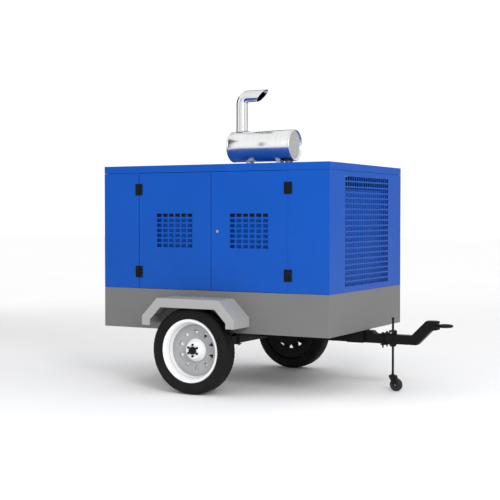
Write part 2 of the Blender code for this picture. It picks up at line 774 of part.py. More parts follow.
def make_corner_panel(side, hand, end, where):
    """The fixed skin between a door and the body's end, folded inwards along the door."""
    seam = BODY_X + end * (DOOR_SPLIT + SEAM / 2)
    edge = BODY_X + end * BODY_LENGTH / 2
    outline = [
        (seam, side * SIDE), (edge, side * SIDE), (edge, side * (SIDE - SHEET)),
        (seam + end * SHEET, side * (SIDE - SHEET)), (seam + end * SHEET, side * (SIDE - DOOR_DEPTH)),
        (seam, side * (SIDE - DOOR_DEPTH)),
    ]
    panel = piece(
        f"corner_panel_{where}_{hand}", prism(outline, "Z", BASE_TOP + GAP, ROOF_SEAM - GAP), "canopy_blue"
    )
    pin, heights = side_hinges(side, end)
    hinge_half(panel, pin, (end, 0.0), (0.0, side), heights, upper=False)


def vent_slots(side, middle):
    """The seven air slots of a door, one above another."""
    lowest = BASE_TOP + VENT_MIDDLE - VENT_PITCH * (VENT_ROWS - 1) / 2
    slots = []
    for row in range(VENT_ROWS):
        z = lowest + VENT_PITCH * row
        low = (middle - VENT_WIDTH / 2, side * (SIDE - 0.010), z - VENT_SLOT / 2)
        slots.append(slab(low, (middle + VENT_WIDTH / 2, side * (SIDE + 0.010), z + VENT_SLOT / 2)))
    return slots


def make_door(side, hand, end, where):
    free, hinged = BODY_X + end * SEAM / 2, BODY_X + end * (DOOR_SPLIT - SEAM / 2)
    low, high = BASE_TOP + SEAM, ROOF_SEAM - SEAM
    pin, heights = side_hinges(side, end)
    door = piece(
        f"door_{where}_{hand}",
        slab((free, side * SIDE, low), (hinged, side * (SIDE - DOOR_DEPTH), high)),
        "canopy_blue",
        origin=(*pin, low),
    )
    cut(
        door,
        slab(
            (free + end * SHEET, side * (SIDE - SHEET), low + SHEET),
            (hinged - end * SHEET, side * (SIDE - DOOR_DEPTH - 0.01), high - SHEET),
        ),
    )
    cut(door, *vent_slots(side, BODY_X + end * DOOR_SPLIT / 2))
    hinge_half(door, pin, (-end, 0.0), (0.0, side), heights, upper=True)
    if where == "front":
        make_lock(door, side, hand, free + end * LOCK_INSET, (low + high) / 2)


def make_lock(door, side, hand, x, z):
    """A flush barrel lock whose cam turns behind the door's skin."""
    cut(door, rod("Y", (x, z), LOCK_RADIUS + 0.0005, side * (SIDE - 0.010), side * (SIDE + 0.010)))
    lock = piece(
        f"door_lock_{hand}",
        rod("Y", (x, z), LOCK_RADIUS, side * (SIDE - 0.018), side * (SIDE + 0.002)),
        "bright_steel",
        origin=(x, side * SIDE, z),
    )
    weld(lock, slab((x - 0.007, side * (SIDE - 0.015), z), (x + 0.007, side * (SIDE - 0.011), z + 0.036)))


def make_front():
    inner = SIDE - SHEET - GAP
    panel = piece(
        "front_panel",
        slab((FRONT - SHEET, -inner, BASE_TOP + GAP), (FRONT, inner, ROOF_SEAM - GAP)),
        "canopy_blue",
    )
    half = GRILLE_WIDTH / 2
    first = BASE_TOP + GRILLE_BOTTOM + (GRILLE_PITCH - GRILLE_SLOT) / 2
    lows = [first + GRILLE_PITCH * row for row in range(GRILLE_ROWS)]
    cut(panel, *[slab((FRONT - 0.01, -half, z), (FRONT + 0.01, half, z + GRILLE_SLOT)) for z in lows])

    back, face, half = FRONT - BAFFLE_DEPTH, FRONT - SHEET - GAP, BAFFLE_HALF_WIDTH
    outline = [
        (face, -half), (face, -half + SHEET), (back + SHEET, -half + SHEET), (back + SHEET, half - SHEET),
        (face, half - SHEET), (face, half), (back, half), (back, -half),
    ]
    piece(
        "front_baffle", prism(outline, "Z", BASE_TOP + GAP, BASE_TOP + GAP + BAFFLE_HEIGHT), "canopy_blue"
    )


def make_roof():
    roof = piece("roof", slab((REAR, -SIDE, ROOF_SEAM), (FRONT, SIDE, ROOF_TOP)), "canopy_blue")
    inner = SIDE - SHEET
    cut(
        roof,
        slab((REAR + SHEET, -inner, ROOF_SEAM - 0.01), (FRONT - SHEET, inner, ROOF_TOP - SHEET)),
    )
    cut(roof, rod("Z", (BODY_X + RISER_X, 0.0), RISER_HOLE, ROOF_TOP - 0.02, ROOF_TOP + 0.02))

    outer, beam, top = HOOP_INNER + HOOP_POST, BEAM_BOTTOM, ROOF_TOP - SHEET - GAP
    foot = BASE_TOP + GAP
    outline = [
        (-outer, foot), (-outer, top), (outer, top), (outer, foot),
        (HOOP_INNER, foot), (HOOP_INNER, beam), (-HOOP_INNER, beam), (-HOOP_INNER, foot),
    ]
    half = HOOP_WIDTH / 2
    piece("canopy_hoop", prism(outline, "X", BODY_X - half, BODY_X + half), "canopy_blue")


def make_rear():
    """The rear skin with its control bay, the bay's door and the controls."""
    inner = SIDE - SHEET - GAP
    panel = piece(
        "rear_panel",
        slab((REAR, -inner, BASE_TOP + GAP), (REAR + SHEET, inner, ROOF_SEAM - GAP)),
        "canopy_blue",
    )
    half, low, high = PANEL_HALF_WIDTH, PANEL_Z, PANEL_Z + PANEL_HEIGHT
    cut(panel, slab((REAR - 0.01, -half, low), (REAR + 0.01, half, high)))
    stop = (STOP_Y, BASE_TOP + STOP_Z)
    cut(panel, rod("X", stop, 0.0095, REAR - 0.01, REAR + 0.01))
    pin = (REAR - PIN_RADIUS - PIN_CLEAR, REAR_HINGE_Y)
    heights = (high - 0.120, low + 0.120)
    hinge_half(panel, pin, (0.0, -1.0), (-1.0, 0.0), heights, upper=False)

    door = piece(
        "rear_door",
        slab((REAR, -half + SEAM / 2, low + SEAM), (REAR + DOOR_DEPTH, half - SEAM, high - SEAM)),
        "canopy_blue",
        origin=(*pin, low),
    )
    cut(
        door,
        slab(
            (REAR + SHEET, -half + SEAM / 2 + SHEET, low + SEAM + SHEET),
            (REAR + DOOR_DEPTH + 0.01, half - SEAM - SHEET, high - SEAM - SHEET),
        ),
    )
    hinge_half(door, pin, (0.0, 1.0), (-1.0, 0.0), heights, upper=True)

    rim, web = PANEL_RIM, PANEL_RECESS
    box = piece(
        "control_panel",
        slab(
            (REAR + SHEET + GAP, -half - rim, low - rim), (REAR + PANEL_DEPTH, half + rim, high + rim)
        ),
        "panel_grey",
    )
    wall = rim - 0.010
    cut(box, slab((REAR - 0.01, -half - wall, low - wall), (REAR + web, half + wall, high + wall)))
    cut(
        box,
        slab(
            (REAR + web + SHEET, -half - wall, low - wall),
            (REAR + PANEL_DEPTH + 0.01, half + wall, high + wall),
        ),
    )
    make_controls(stop)


def make_controls(stop):
    face = PANEL_FACE - GAP
    mushroom = [
        (0.0, REAR - STOP_PROUD), (0.014, REAR - STOP_PROUD + 0.001), (0.020, REAR - 0.024),
        (0.020, REAR - 0.014), (0.009, REAR - 0.012), (0.009, REAR + 0.030), (0.0, REAR + 0.030),
    ]
    place = (REAR, stop[0], stop[1])
    piece("emergency_stop", turned(mushroom, "X", stop, 24), "stop_red", place, True)

    key = (0.200, PANEL_Z + 0.450)
    switch = piece("key_switch", rod("X", key, 0.014, face - 0.008, face), "bright_steel", (face, *key))
    weld(
        switch,
        slab(
            (face - 0.026, key[0] - 0.0015, key[1] - 0.011),
            (face - 0.006, key[0] + 0.0015, key[1] + 0.011),
        ),
    )

    pivot = (face - 0.011, PANEL_Z + 0.250)
    barrel = rod("Y", pivot, 0.010, -0.075, -0.125)
    lever = piece("breaker_lever", barrel, "core_black", (pivot[0], 0.0, pivot[1]))
    weld(
        lever,
        slab((pivot[0] - 0.020, -0.080, pivot[1] - 0.005), (pivot[0] - 0.004, -0.120, pivot[1] + 0.005)),
    )


# ---- exhaust -------------------------------------------------------------------------------------
def muffler_bulk(extra=GAP):
    """The muffler's outer cylinder, a little larger, to shape what butts against it."""
    start, end = BODY_X + MUFFLER_REAR - 0.1, BODY_X + MUFFLER_FRONT + 0.1
    return rod("X", (0.0, MUFFLER_Z), MUFFLER_RADIUS + extra, start, end, 36)


def make_muffler():
    rear, front = BODY_X + MUFFLER_REAR, BODY_X + MUFFLER_FRONT
    size, wall, rolled, sunk = MUFFLER_RADIUS, MUFFLER_WALL, 0.008, 0.010
    end = [(0.0, sunk), (size - 2 * rolled, sunk), (size - rolled, 0.0), (size, rolled)]
    outside = [(r, rear + a) for r, a in end] + [(r, front - a) for r, a in reversed(end)]
    muffler = piece("muffler", turned(outside, "X", (0.0, MUFFLER_Z), 36), "stainless", round_piece=True)
    hollow = sunk + wall
    cut(muffler, rod("X", (0.0, MUFFLER_Z), size - wall, rear + hollow, front - hollow, 36))
    cut(
        muffler,
        rod("Z", (BODY_X + TAIL_X, 0.0), TAIL_RADIUS - TAIL_WALL, MUFFLER_Z, MUFFLER_Z + size + 0.05),
        rod("Z", (BODY_X + RISER_X, 0.0), RISER_RADIUS - 0.004, MUFFLER_Z - size - 0.05, MUFFLER_Z),
    )
    for where, offset in SADDLES.items():
        foot, half = ROOF_TOP + GAP, SADDLE_WIDTH / 2
        reach = math.radians(40)
        seat = disc(size + GAP, (0.0, MUFFLER_Z), -math.pi / 2 - reach, 2 * reach, 17)
        outline = [(-0.105, foot), (-0.105, foot + 0.006)] + seat + [(0.105, foot + 0.006), (0.105, foot)]
        x = BODY_X + offset
        piece(f"muffler_saddle_{where}", prism(outline, "X", x - half, x + half), "canopy_blue")


def make_pipes():
    x = BODY_X + TAIL_X
    tip = BODY_X + TAIL_TIP
    corners = [(x, 0.0, MUFFLER_Z + 0.09), (x, 0.0, OUTLET_Z), (tip + 0.02, 0.0, OUTLET_Z)]
    tail = piece(
        "tailpipe",
        pipe(bent(corners, TAIL_BEND), Vector((0.0, 1.0, 0.0)), TAIL_RADIUS, TAIL_RADIUS - TAIL_WALL, 20),
        "stainless",
        round_piece=True,
    )
    cut(tail, muffler_bulk())
    top, low, slant = OUTLET_Z + TAIL_RADIUS, OUTLET_Z - TAIL_RADIUS, 2 * TAIL_RADIUS
    mitre = [
        (tip - slant - 0.02, low - 0.02), (tip + 0.1, low - 0.02),
        (tip + 0.1, top + 0.02), (tip + 0.02, top + 0.02),
    ]
    cut(tail, prism(mitre, "Y", -0.1, 0.1))

    x, head_side = BODY_X + RISER_X, HEAD_WIDTH / 2 + GAP
    manifold = CRANK_Z + BLOCK_ABOVE + 0.090
    away = head_side + 0.100
    corners = [
        (x, head_side, manifold), (x, away, manifold), (x, away, manifold + 0.180),
        (x, 0.0, ROOF_TOP - 0.120), (x, 0.0, MUFFLER_Z - 0.1),
    ]
    riser = piece(
        "exhaust_riser",
        pipe(bent(corners, 0.060), Vector((1.0, 0.0, 0.0)), RISER_RADIUS, sides=12),
        "bright_steel",
        round_piece=True,
    )
    cut(riser, muffler_bulk())


# ---- power set -----------------------------------------------------------------------------------
def make_bed():
    """Two rails under the engine and alternator, on cross-members that rest on the base's lips."""
    front = RADIATOR_X + 0.020
    low, high, across = BASE_TOP + GAP, BED_TOP, SIDE - SHEET - DOOR_DEPTH
    bed = piece(
        "engine_bed",
        slab((BED_REAR, BED_RAIL_Y - BED_RAIL / 2, low), (front, BED_RAIL_Y + BED_RAIL / 2, high)),
        "chassis_black",
    )
    weld(bed, slab((BED_REAR, across, low), (BED_REAR + BED_RAIL, -across, high)))
    weld(bed, slab((front - 0.090, across, low), (front, -across, high)))
    weld(bed, slab((BED_REAR, -BED_RAIL_Y - BED_RAIL / 2, low), (front, -BED_RAIL_Y + BED_RAIL / 2, high)))

    neck = (BODY_X + NECK_X, NECK_Y)
    deck = piece(
        "rear_deck",
        slab((REAR + 0.008, -SIDE + 0.028, low), (BED_REAR - GAP, SIDE - 0.028, low + SHEET)),
        "base_grey",
    )
    cut(deck, rod("Z", neck, NECK_RADIUS + 0.005, low - 0.02, low + 0.02))


def make_engine():
    half, deep = BLOCK_WIDTH / 2, BLOCK_BELOW + 0.100
    sump = half - 0.030
    low, mid, high = CRANK_Z - deep, CRANK_Z - BLOCK_BELOW, CRANK_Z + BLOCK_ABOVE
    outline = [(-sump, low), (sump, low), (sump, mid), (half, mid)]
    outline += [(half, high), (-half, high), (-half, mid), (-sump, mid)]
    block = piece("engine_block", prism(outline, "X", HOUSING_X, BLOCK_X), "engine_green")
    housing = rod("X", (0.0, CRANK_Z), HOUSING_RADIUS, HOUSING_X - HOUSING_LENGTH, HOUSING_X + 0.002, 32)
    feet = BED_RAIL_Y + 0.020
    foot = slab(
        (BLOCK_X - 0.130, -feet, BED_TOP + GAP), (BLOCK_X - 0.060, feet, BED_TOP + GAP + 0.100)
    )
    weld(block, housing, foot)

    half = HEAD_WIDTH / 2
    top = high + GAP + HEAD_HEIGHT
    outline = [
        (-half, high + GAP), (half, high + GAP), (half, top - 0.070), (half - 0.030, top - 0.050),
        (half - 0.030, top), (-half + 0.030, top), (-half + 0.030, top - 0.050), (-half, top - 0.070),
    ]
    piece("cylinder_head", prism(outline, "X", HOUSING_X + 0.020, BLOCK_X - 0.020), "cast_alloy")

    start = BLOCK_X + GAP
    groove = PULLEY_RADIUS - 0.008
    profile = [
        (0.0, start), (PULLEY_RADIUS, start), (PULLEY_RADIUS, start + 0.006), (groove, start + 0.012),
        (groove, start + 0.018), (PULLEY_RADIUS, start + 0.024), (PULLEY_RADIUS, start + 0.030),
        (0.0, start + 0.030),
    ]
    crank = (0.0, CRANK_Z)
    piece("crank_pulley", turned(profile, "X", crank, 24), "bright_steel", (start, *crank), True)


def make_fan():
    """Six blades, the shaft back to the block and the belt's pulley on it."""
    centre = (0.0, FAN_Z)
    blades, root = 6, 0.060
    outline = []
    for k in range(blades):
        turn = 2 * math.pi * k / blades
        for radius, spread in ((root, -0.40), (FAN_RADIUS, -0.20), (FAN_RADIUS, 0.20), (root, 0.40)):
            outline.append(
                (radius * math.cos(turn + spread), FAN_Z + radius * math.sin(turn + spread))
            )
    back = SHROUD_X - SHROUD_DEPTH / 2 - 0.014
    fan = piece("cooling_fan", prism(outline, "X", back, back + 0.028), "core_black", (back, *centre))
    start = BLOCK_X + GAP
    shaft = [
        (0.0, start), (0.050, start), (0.050, start + 0.006), (0.043, start + 0.012),
        (0.043, start + 0.018), (0.050, start + 0.024), (0.050, start + 0.030), (0.025, start + 0.030),
        (0.025, back + 0.010), (0.0, back + 0.010),
    ]
    weld(fan, turned(shaft, "X", centre, 24))

    half = FAN_RADIUS + FAN_TIP_GAP + 0.080
    shroud = piece(
        "fan_shroud",
        slab((SHROUD_X, -half, FAN_Z - half), (SHROUD_X - SHROUD_DEPTH, half, FAN_Z + half)),
        "core_black",
    )
    cut(
        shroud,
        rod("X", centre, FAN_RADIUS + FAN_TIP_GAP, SHROUD_X + 0.01, SHROUD_X - SHROUD_DEPTH - 0.01, 40),
    )
    half = RADIATOR_WIDTH / 2
    piece(
        "radiator",
        slab(
            (RADIATOR_X, -half, BED_TOP + GAP),
            (RADIATOR_X - RADIATOR_DEPTH, half, BED_TOP + RADIATOR_HEIGHT),
        ),
        "core_black",
    )


def make_alternator():
    start, end = ALTERNATOR_X, ALTERNATOR_X - ALTERNATOR_LENGTH
    centre = (0.0, CRANK_Z)
    barrel = rod("X", centre, ALTERNATOR_RADIUS, start, end, 32)
    body = piece("alternator", barrel, "engine_green", round_piece=True)
    feet = BED_RAIL_Y + 0.020
    middle = (start + end) / 2
    weld(
        body,
        slab(
            (middle - 0.12, -feet, BED_TOP + GAP),
            (middle + 0.12, feet, CRANK_Z - ALTERNATOR_RADIUS + 0.040),
        ),
    )
    cut(body, rod("X", centre, ALTERNATOR_RADIUS - 0.048, end - 0.01, end + 0.38, 32))


def make_services():
    x = BODY_X - 0.090
    z = BEAM_BOTTOM - GAP - 0.060 - FILTER_RADIUS
    half = FILTER_LENGTH / 2
    profile = [
        (0.0, x - half), (FILTER_RADIUS - 0.010, x - half), (FILTER_RADIUS, x - half + 0.010),
        (FILTER_RADIUS, x + half - 0.060), (FILTER_RADIUS - 0.020, x + half - 0.050),
        (FILTER_RADIUS - 0.020, x + half), (0.0, x + half),
    ]
    air = piece("air_filter", turned(profile, "X", (FILTER_Y, z), 28), "core_black", round_piece=True)
    weld(
        air,
        slab(
            (BODY_X - 0.020, FILTER_Y - 0.030, z + FILTER_RADIUS - 0.020),
            (BODY_X + 0.020, FILTER_Y + 0.030, BEAM_BOTTOM - GAP),
        ),
    )
    deck = BASE_TOP + GAP + SHEET + GAP
    length, width, height = BATTERY
    start = REAR + PANEL_DEPTH + 0.060
    piece(
        "battery",
        slab((start, 0.300, deck), (start + length, 0.300 + width, deck + height)),
        "core_black",
    )


def main():
    for obj in list(bpy.data.objects):
        bpy.data.objects.remove(obj, do_unlink=True)
    make_base()
    make_tank()
    make_chassis()
    make_hitch()
    make_axle()
    make_jack()
    make_front()
    make_roof()
    make_rear()
    make_muffler()
    make_pipes()
    make_bed()
    make_engine()
    make_fan()
    make_alternator()
    make_services()
    for side, hand in ((-1, "right"), (1, "left")):
        make_arm(side, hand)
        make_wheel(side, hand)
        make_fender(side, hand)
        for end, where in ((1, "front"), (-1, "rear")):
            make_corner_panel(side, hand, end, where)
            make_door(side, hand, end, where)


main()
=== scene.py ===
"""Looks of the towable diesel generator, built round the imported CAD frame.

Metres, +Z up, +X towards the towing ring. Right means -Y. Every place comes from the CAD boxes.
"""

import json
import math

import bmesh
import bpy
from mathutils import Matrix, Vector

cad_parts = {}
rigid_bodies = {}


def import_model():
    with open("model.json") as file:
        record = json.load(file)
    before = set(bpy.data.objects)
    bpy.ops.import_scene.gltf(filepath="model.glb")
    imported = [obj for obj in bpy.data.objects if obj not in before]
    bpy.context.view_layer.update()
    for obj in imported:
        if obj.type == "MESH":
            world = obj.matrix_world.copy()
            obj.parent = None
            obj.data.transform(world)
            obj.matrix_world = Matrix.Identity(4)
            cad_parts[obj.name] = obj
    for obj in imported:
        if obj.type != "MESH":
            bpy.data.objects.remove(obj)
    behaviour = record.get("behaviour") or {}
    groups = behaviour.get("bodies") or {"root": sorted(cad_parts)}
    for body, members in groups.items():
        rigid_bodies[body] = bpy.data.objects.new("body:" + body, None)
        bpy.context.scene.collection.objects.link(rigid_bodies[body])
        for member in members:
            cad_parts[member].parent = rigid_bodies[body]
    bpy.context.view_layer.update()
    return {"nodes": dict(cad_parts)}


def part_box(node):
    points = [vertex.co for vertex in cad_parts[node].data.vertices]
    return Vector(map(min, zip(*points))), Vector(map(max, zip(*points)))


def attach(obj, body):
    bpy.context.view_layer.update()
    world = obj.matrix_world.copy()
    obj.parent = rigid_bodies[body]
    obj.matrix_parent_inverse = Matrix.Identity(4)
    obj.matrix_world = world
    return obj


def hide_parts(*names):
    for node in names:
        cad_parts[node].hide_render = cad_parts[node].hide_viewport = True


for obj in list(bpy.data.objects):
    bpy.data.objects.remove(obj)
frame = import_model()
scene = bpy.context.scene

# ---- camera -------------------------------------------------------------------------------------
camera = bpy.data.objects.new("camera", bpy.data.cameras.new("camera"))
camera.location = (4.4215, -8.866, 1.479)
camera.rotation_euler = (math.radians(88.234), 0.0, math.radians(28.61))
camera.data.lens = 81.0
camera.data.clip_end = 200.0
scene.collection.objects.link(camera)
scene.camera = camera

# ---- places -------------------------------------------------------------------------------------
NODES = frame["nodes"]
HANDS = ((-1, "right"), (1, "left"))
ENDS = ((1, "front"), (-1, "rear"))


def middle(node):
    """The middle of a node's CAD box."""
    low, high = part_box(node)
    return [(a + b) / 2 for a, b in zip(low, high)]


roof_low, roof_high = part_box("roof")
base_low, base_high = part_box("base_bund")
REAR, FRONT, SIDE = roof_low.x, roof_high.x, roof_high.y
ROOF_SEAM, ROOF_TOP = roof_low.z, roof_high.z
BASE_BOTTOM, BASE_TOP = base_low.z, base_high.z
BODY_X = (REAR + FRONT) / 2
SHEET, SEAM, DEPTH = 0.003, 0.005, 0.025
SPLIT = 0.72  # from the middle of the body to each door's hinge line
GAP = 0.0003  # between pieces that lie against each other

VENTS = {"columns": 6, "rows": 7, "across": 0.0615, "up": 0.0428, "width": 0.0475, "height": 0.03}
GRILLE = {"columns": 20, "rows": 20, "across": 0.0472, "up": 0.0456, "width": 0.035, "height": 0.0335}
LOUVRES = {"columns": 4, "rows": 10, "across": 0.055, "up": 0.0428, "width": 0.042, "height": 0.016}
VENT_Z = BASE_TOP + 0.5035
LOUVRE_Z = BASE_TOP + 0.4
PANEL_RIM = 0.03
GRILLE_Z = BASE_TOP + 0.044 + 0.0456 * 10
HINGE_WIDTH, HINGE_HEIGHT, HINGE_LEAF, PIN = 0.072, 0.098, 0.004, 0.006
HINGE_Z = (ROOF_SEAM - 0.144, BASE_TOP + 0.145)

tyre_low, tyre_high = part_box("tyre_left")
TYRE = (tyre_high.z - tyre_low.z) / 2
WHEEL = ((tyre_low.x + tyre_high.x) / 2, tyre_low.z + TYRE)
WHEEL_Y = (tyre_low.y + tyre_high.y) / 2


# ---- materials ----------------------------------------------------------------------------------
def srgb(*rgb):
    return tuple(((c / 255 + 0.055) / 1.055) ** 2.4 for c in rgb)


class Tree:
    """A short way to add linked nodes to a material."""

    def __init__(self, material):
        material.use_nodes = True
        self.nodes, self.links = material.node_tree.nodes, material.node_tree.links
        self.shader = self.nodes["Principled BSDF"]

    def add(self, kind, inputs=(), **settings):
        made = self.nodes.new("ShaderNode" + kind)
        for key, value in settings.items():
            setattr(made, key, value)
        for key, value in dict(inputs).items():
            self.put(value, made.inputs[key])
        return made

    def put(self, value, socket):
        if isinstance(value, bpy.types.NodeSocket):
            self.links.new(value, socket)
        else:
            socket.default_value = value

    def noise(self, vector, scale, detail=3.0, rough=0.55):
        made = self.add("TexNoise", {"Vector": vector, "Scale": scale, "Detail": detail, "Roughness": rough})
        return made.outputs["Fac"]

    def ramp(self, value, low, high, out_low=0.0, out_high=1.0):
        spans = {"From Min": low, "From Max": high, "To Min": out_low, "To Max": out_high}
        return self.add("MapRange", {"Value": value, **spans}).outputs["Result"]

    def maths(self, operation, a, b):
        made = self.add("Math", operation=operation)
        self.put(a, made.inputs[0])
        self.put(b, made.inputs[1])
        return made.outputs[0]

    def mix(self, factor, a, b):
        made = self.add("Mix", data_type="RGBA")
        self.put(factor, made.inputs[0])
        for value, socket in ((a, made.inputs[6]), (b, made.inputs[7])):
            self.put(value if isinstance(value, bpy.types.NodeSocket) else (*value[:3], 1.0), socket)
        return made.outputs[2]


WEAR_RADIUS, DUST = 0.003, (0.16, 0.145, 0.125)


def surface(
    name, colour, rough, metal=0.0, coat=0.0, shine=0.5, mottle=0.05, patch=3.0, grain=260.0, bump=0.08,
    height=0.0003, swing=0.08, wear=0.0, bare=(0.3, 0.31, 0.32), dirt=0.0, dirt_top=0.5,
    stretch=(1.0, 1.0, 1.0), ribs=None,
):
    """A procedural finish: mottled colour, grain, worn edges, dust that fades out upwards, and painted shade
    in the gaps between ribs.
    """
    made = bpy.data.materials.new(name)
    tree = Tree(made)
    shader = tree.shader
    place = tree.add("TexCoord").outputs["Object"]
    drawn = tree.add("Mapping", {"Vector": place, "Scale": stretch}).outputs[0]
    broad, fine = tree.noise(drawn, patch, 5.0), tree.noise(drawn, grain, 4.0, 0.6)
    spread = tree.ramp(broad, 0.3, 0.7)
    dark, light = [c * (1 - mottle) for c in colour], [min(1.0, c * (1 + mottle)) for c in colour]
    tint = tree.mix(spread, dark, light)
    gloss = tree.ramp(tree.maths("ADD", broad, fine), 0.7, 1.3, max(0.03, rough - swing), rough + swing)
    if dirt:
        low = tree.ramp(tree.add("SeparateXYZ", {"Vector": place}).outputs["Z"], 0.0, dirt_top, 1.0, 0.0)
        blotch = tree.ramp(tree.noise(place, 9.0, 6.0, 0.65), 0.35, 0.75)
        soiled = tree.maths("MULTIPLY", tree.maths("MULTIPLY", low, blotch), dirt)
        tint = tree.mix(soiled, tint, DUST)
        gloss = tree.maths("ADD", gloss, tree.maths("MULTIPLY", soiled, 0.35))
    if wear:
        edge = tree.add("Bevel", {"Radius": WEAR_RADIUS}, samples=4).outputs[0]
        flat = tree.add("NewGeometry").outputs["Normal"]
        turned_away = tree.add("VectorMath", {0: edge, 1: flat}, operation="DOT_PRODUCT").outputs["Value"]
        rim = tree.ramp(turned_away, 0.995, 0.9)
        chips = tree.ramp(tree.noise(place, 70.0, 5.0, 0.7), 0.46, 0.6)
        rubbed = tree.maths("MULTIPLY", tree.maths("MULTIPLY", rim, chips), wear)
        tint = tree.mix(rubbed, tint, bare)
        gloss = tree.maths("ADD", gloss, tree.maths("MULTIPLY", rubbed, 0.12))
    relief = fine
    if ribs:
        rib_bands_and_gap_shade = tree.add(
            "TexWave", {"Vector": place, "Scale": ribs[1], "Distortion": 0.0}, bands_direction=ribs[0]
        ).outputs["Fac"]
        relief = tree.maths("ADD", tree.maths("MULTIPLY", fine, 0.2), rib_bands_and_gap_shade)
        # Painted shade: the gaps between the ribs are darkened as if shaded between fins, and the same bands
        # raise the ribs.
        tint = tree.mix(rib_bands_and_gap_shade, [c * 0.35 for c in colour], tint)
    raised = tree.add("Bump", {"Strength": bump, "Distance": height, "Height": relief}).outputs[0]
    tree.put(tint, shader.inputs["Base Color"])
    tree.put(gloss, shader.inputs["Roughness"])
    tree.put(raised, shader.inputs["Normal"])
    shader.inputs["Metallic"].default_value = metal
    shader.inputs["Specular IOR Level"].default_value = shine
    shader.inputs["Coat Weight"].default_value = coat
    shader.inputs["Coat Roughness"].default_value = 0.12
    made.diffuse_color = (*colour, 1.0)
    return made


BLACK = (0.0035, 0.0035, 0.0037)
ENAMEL = {"grain": 420.0, "bump": 0.05}
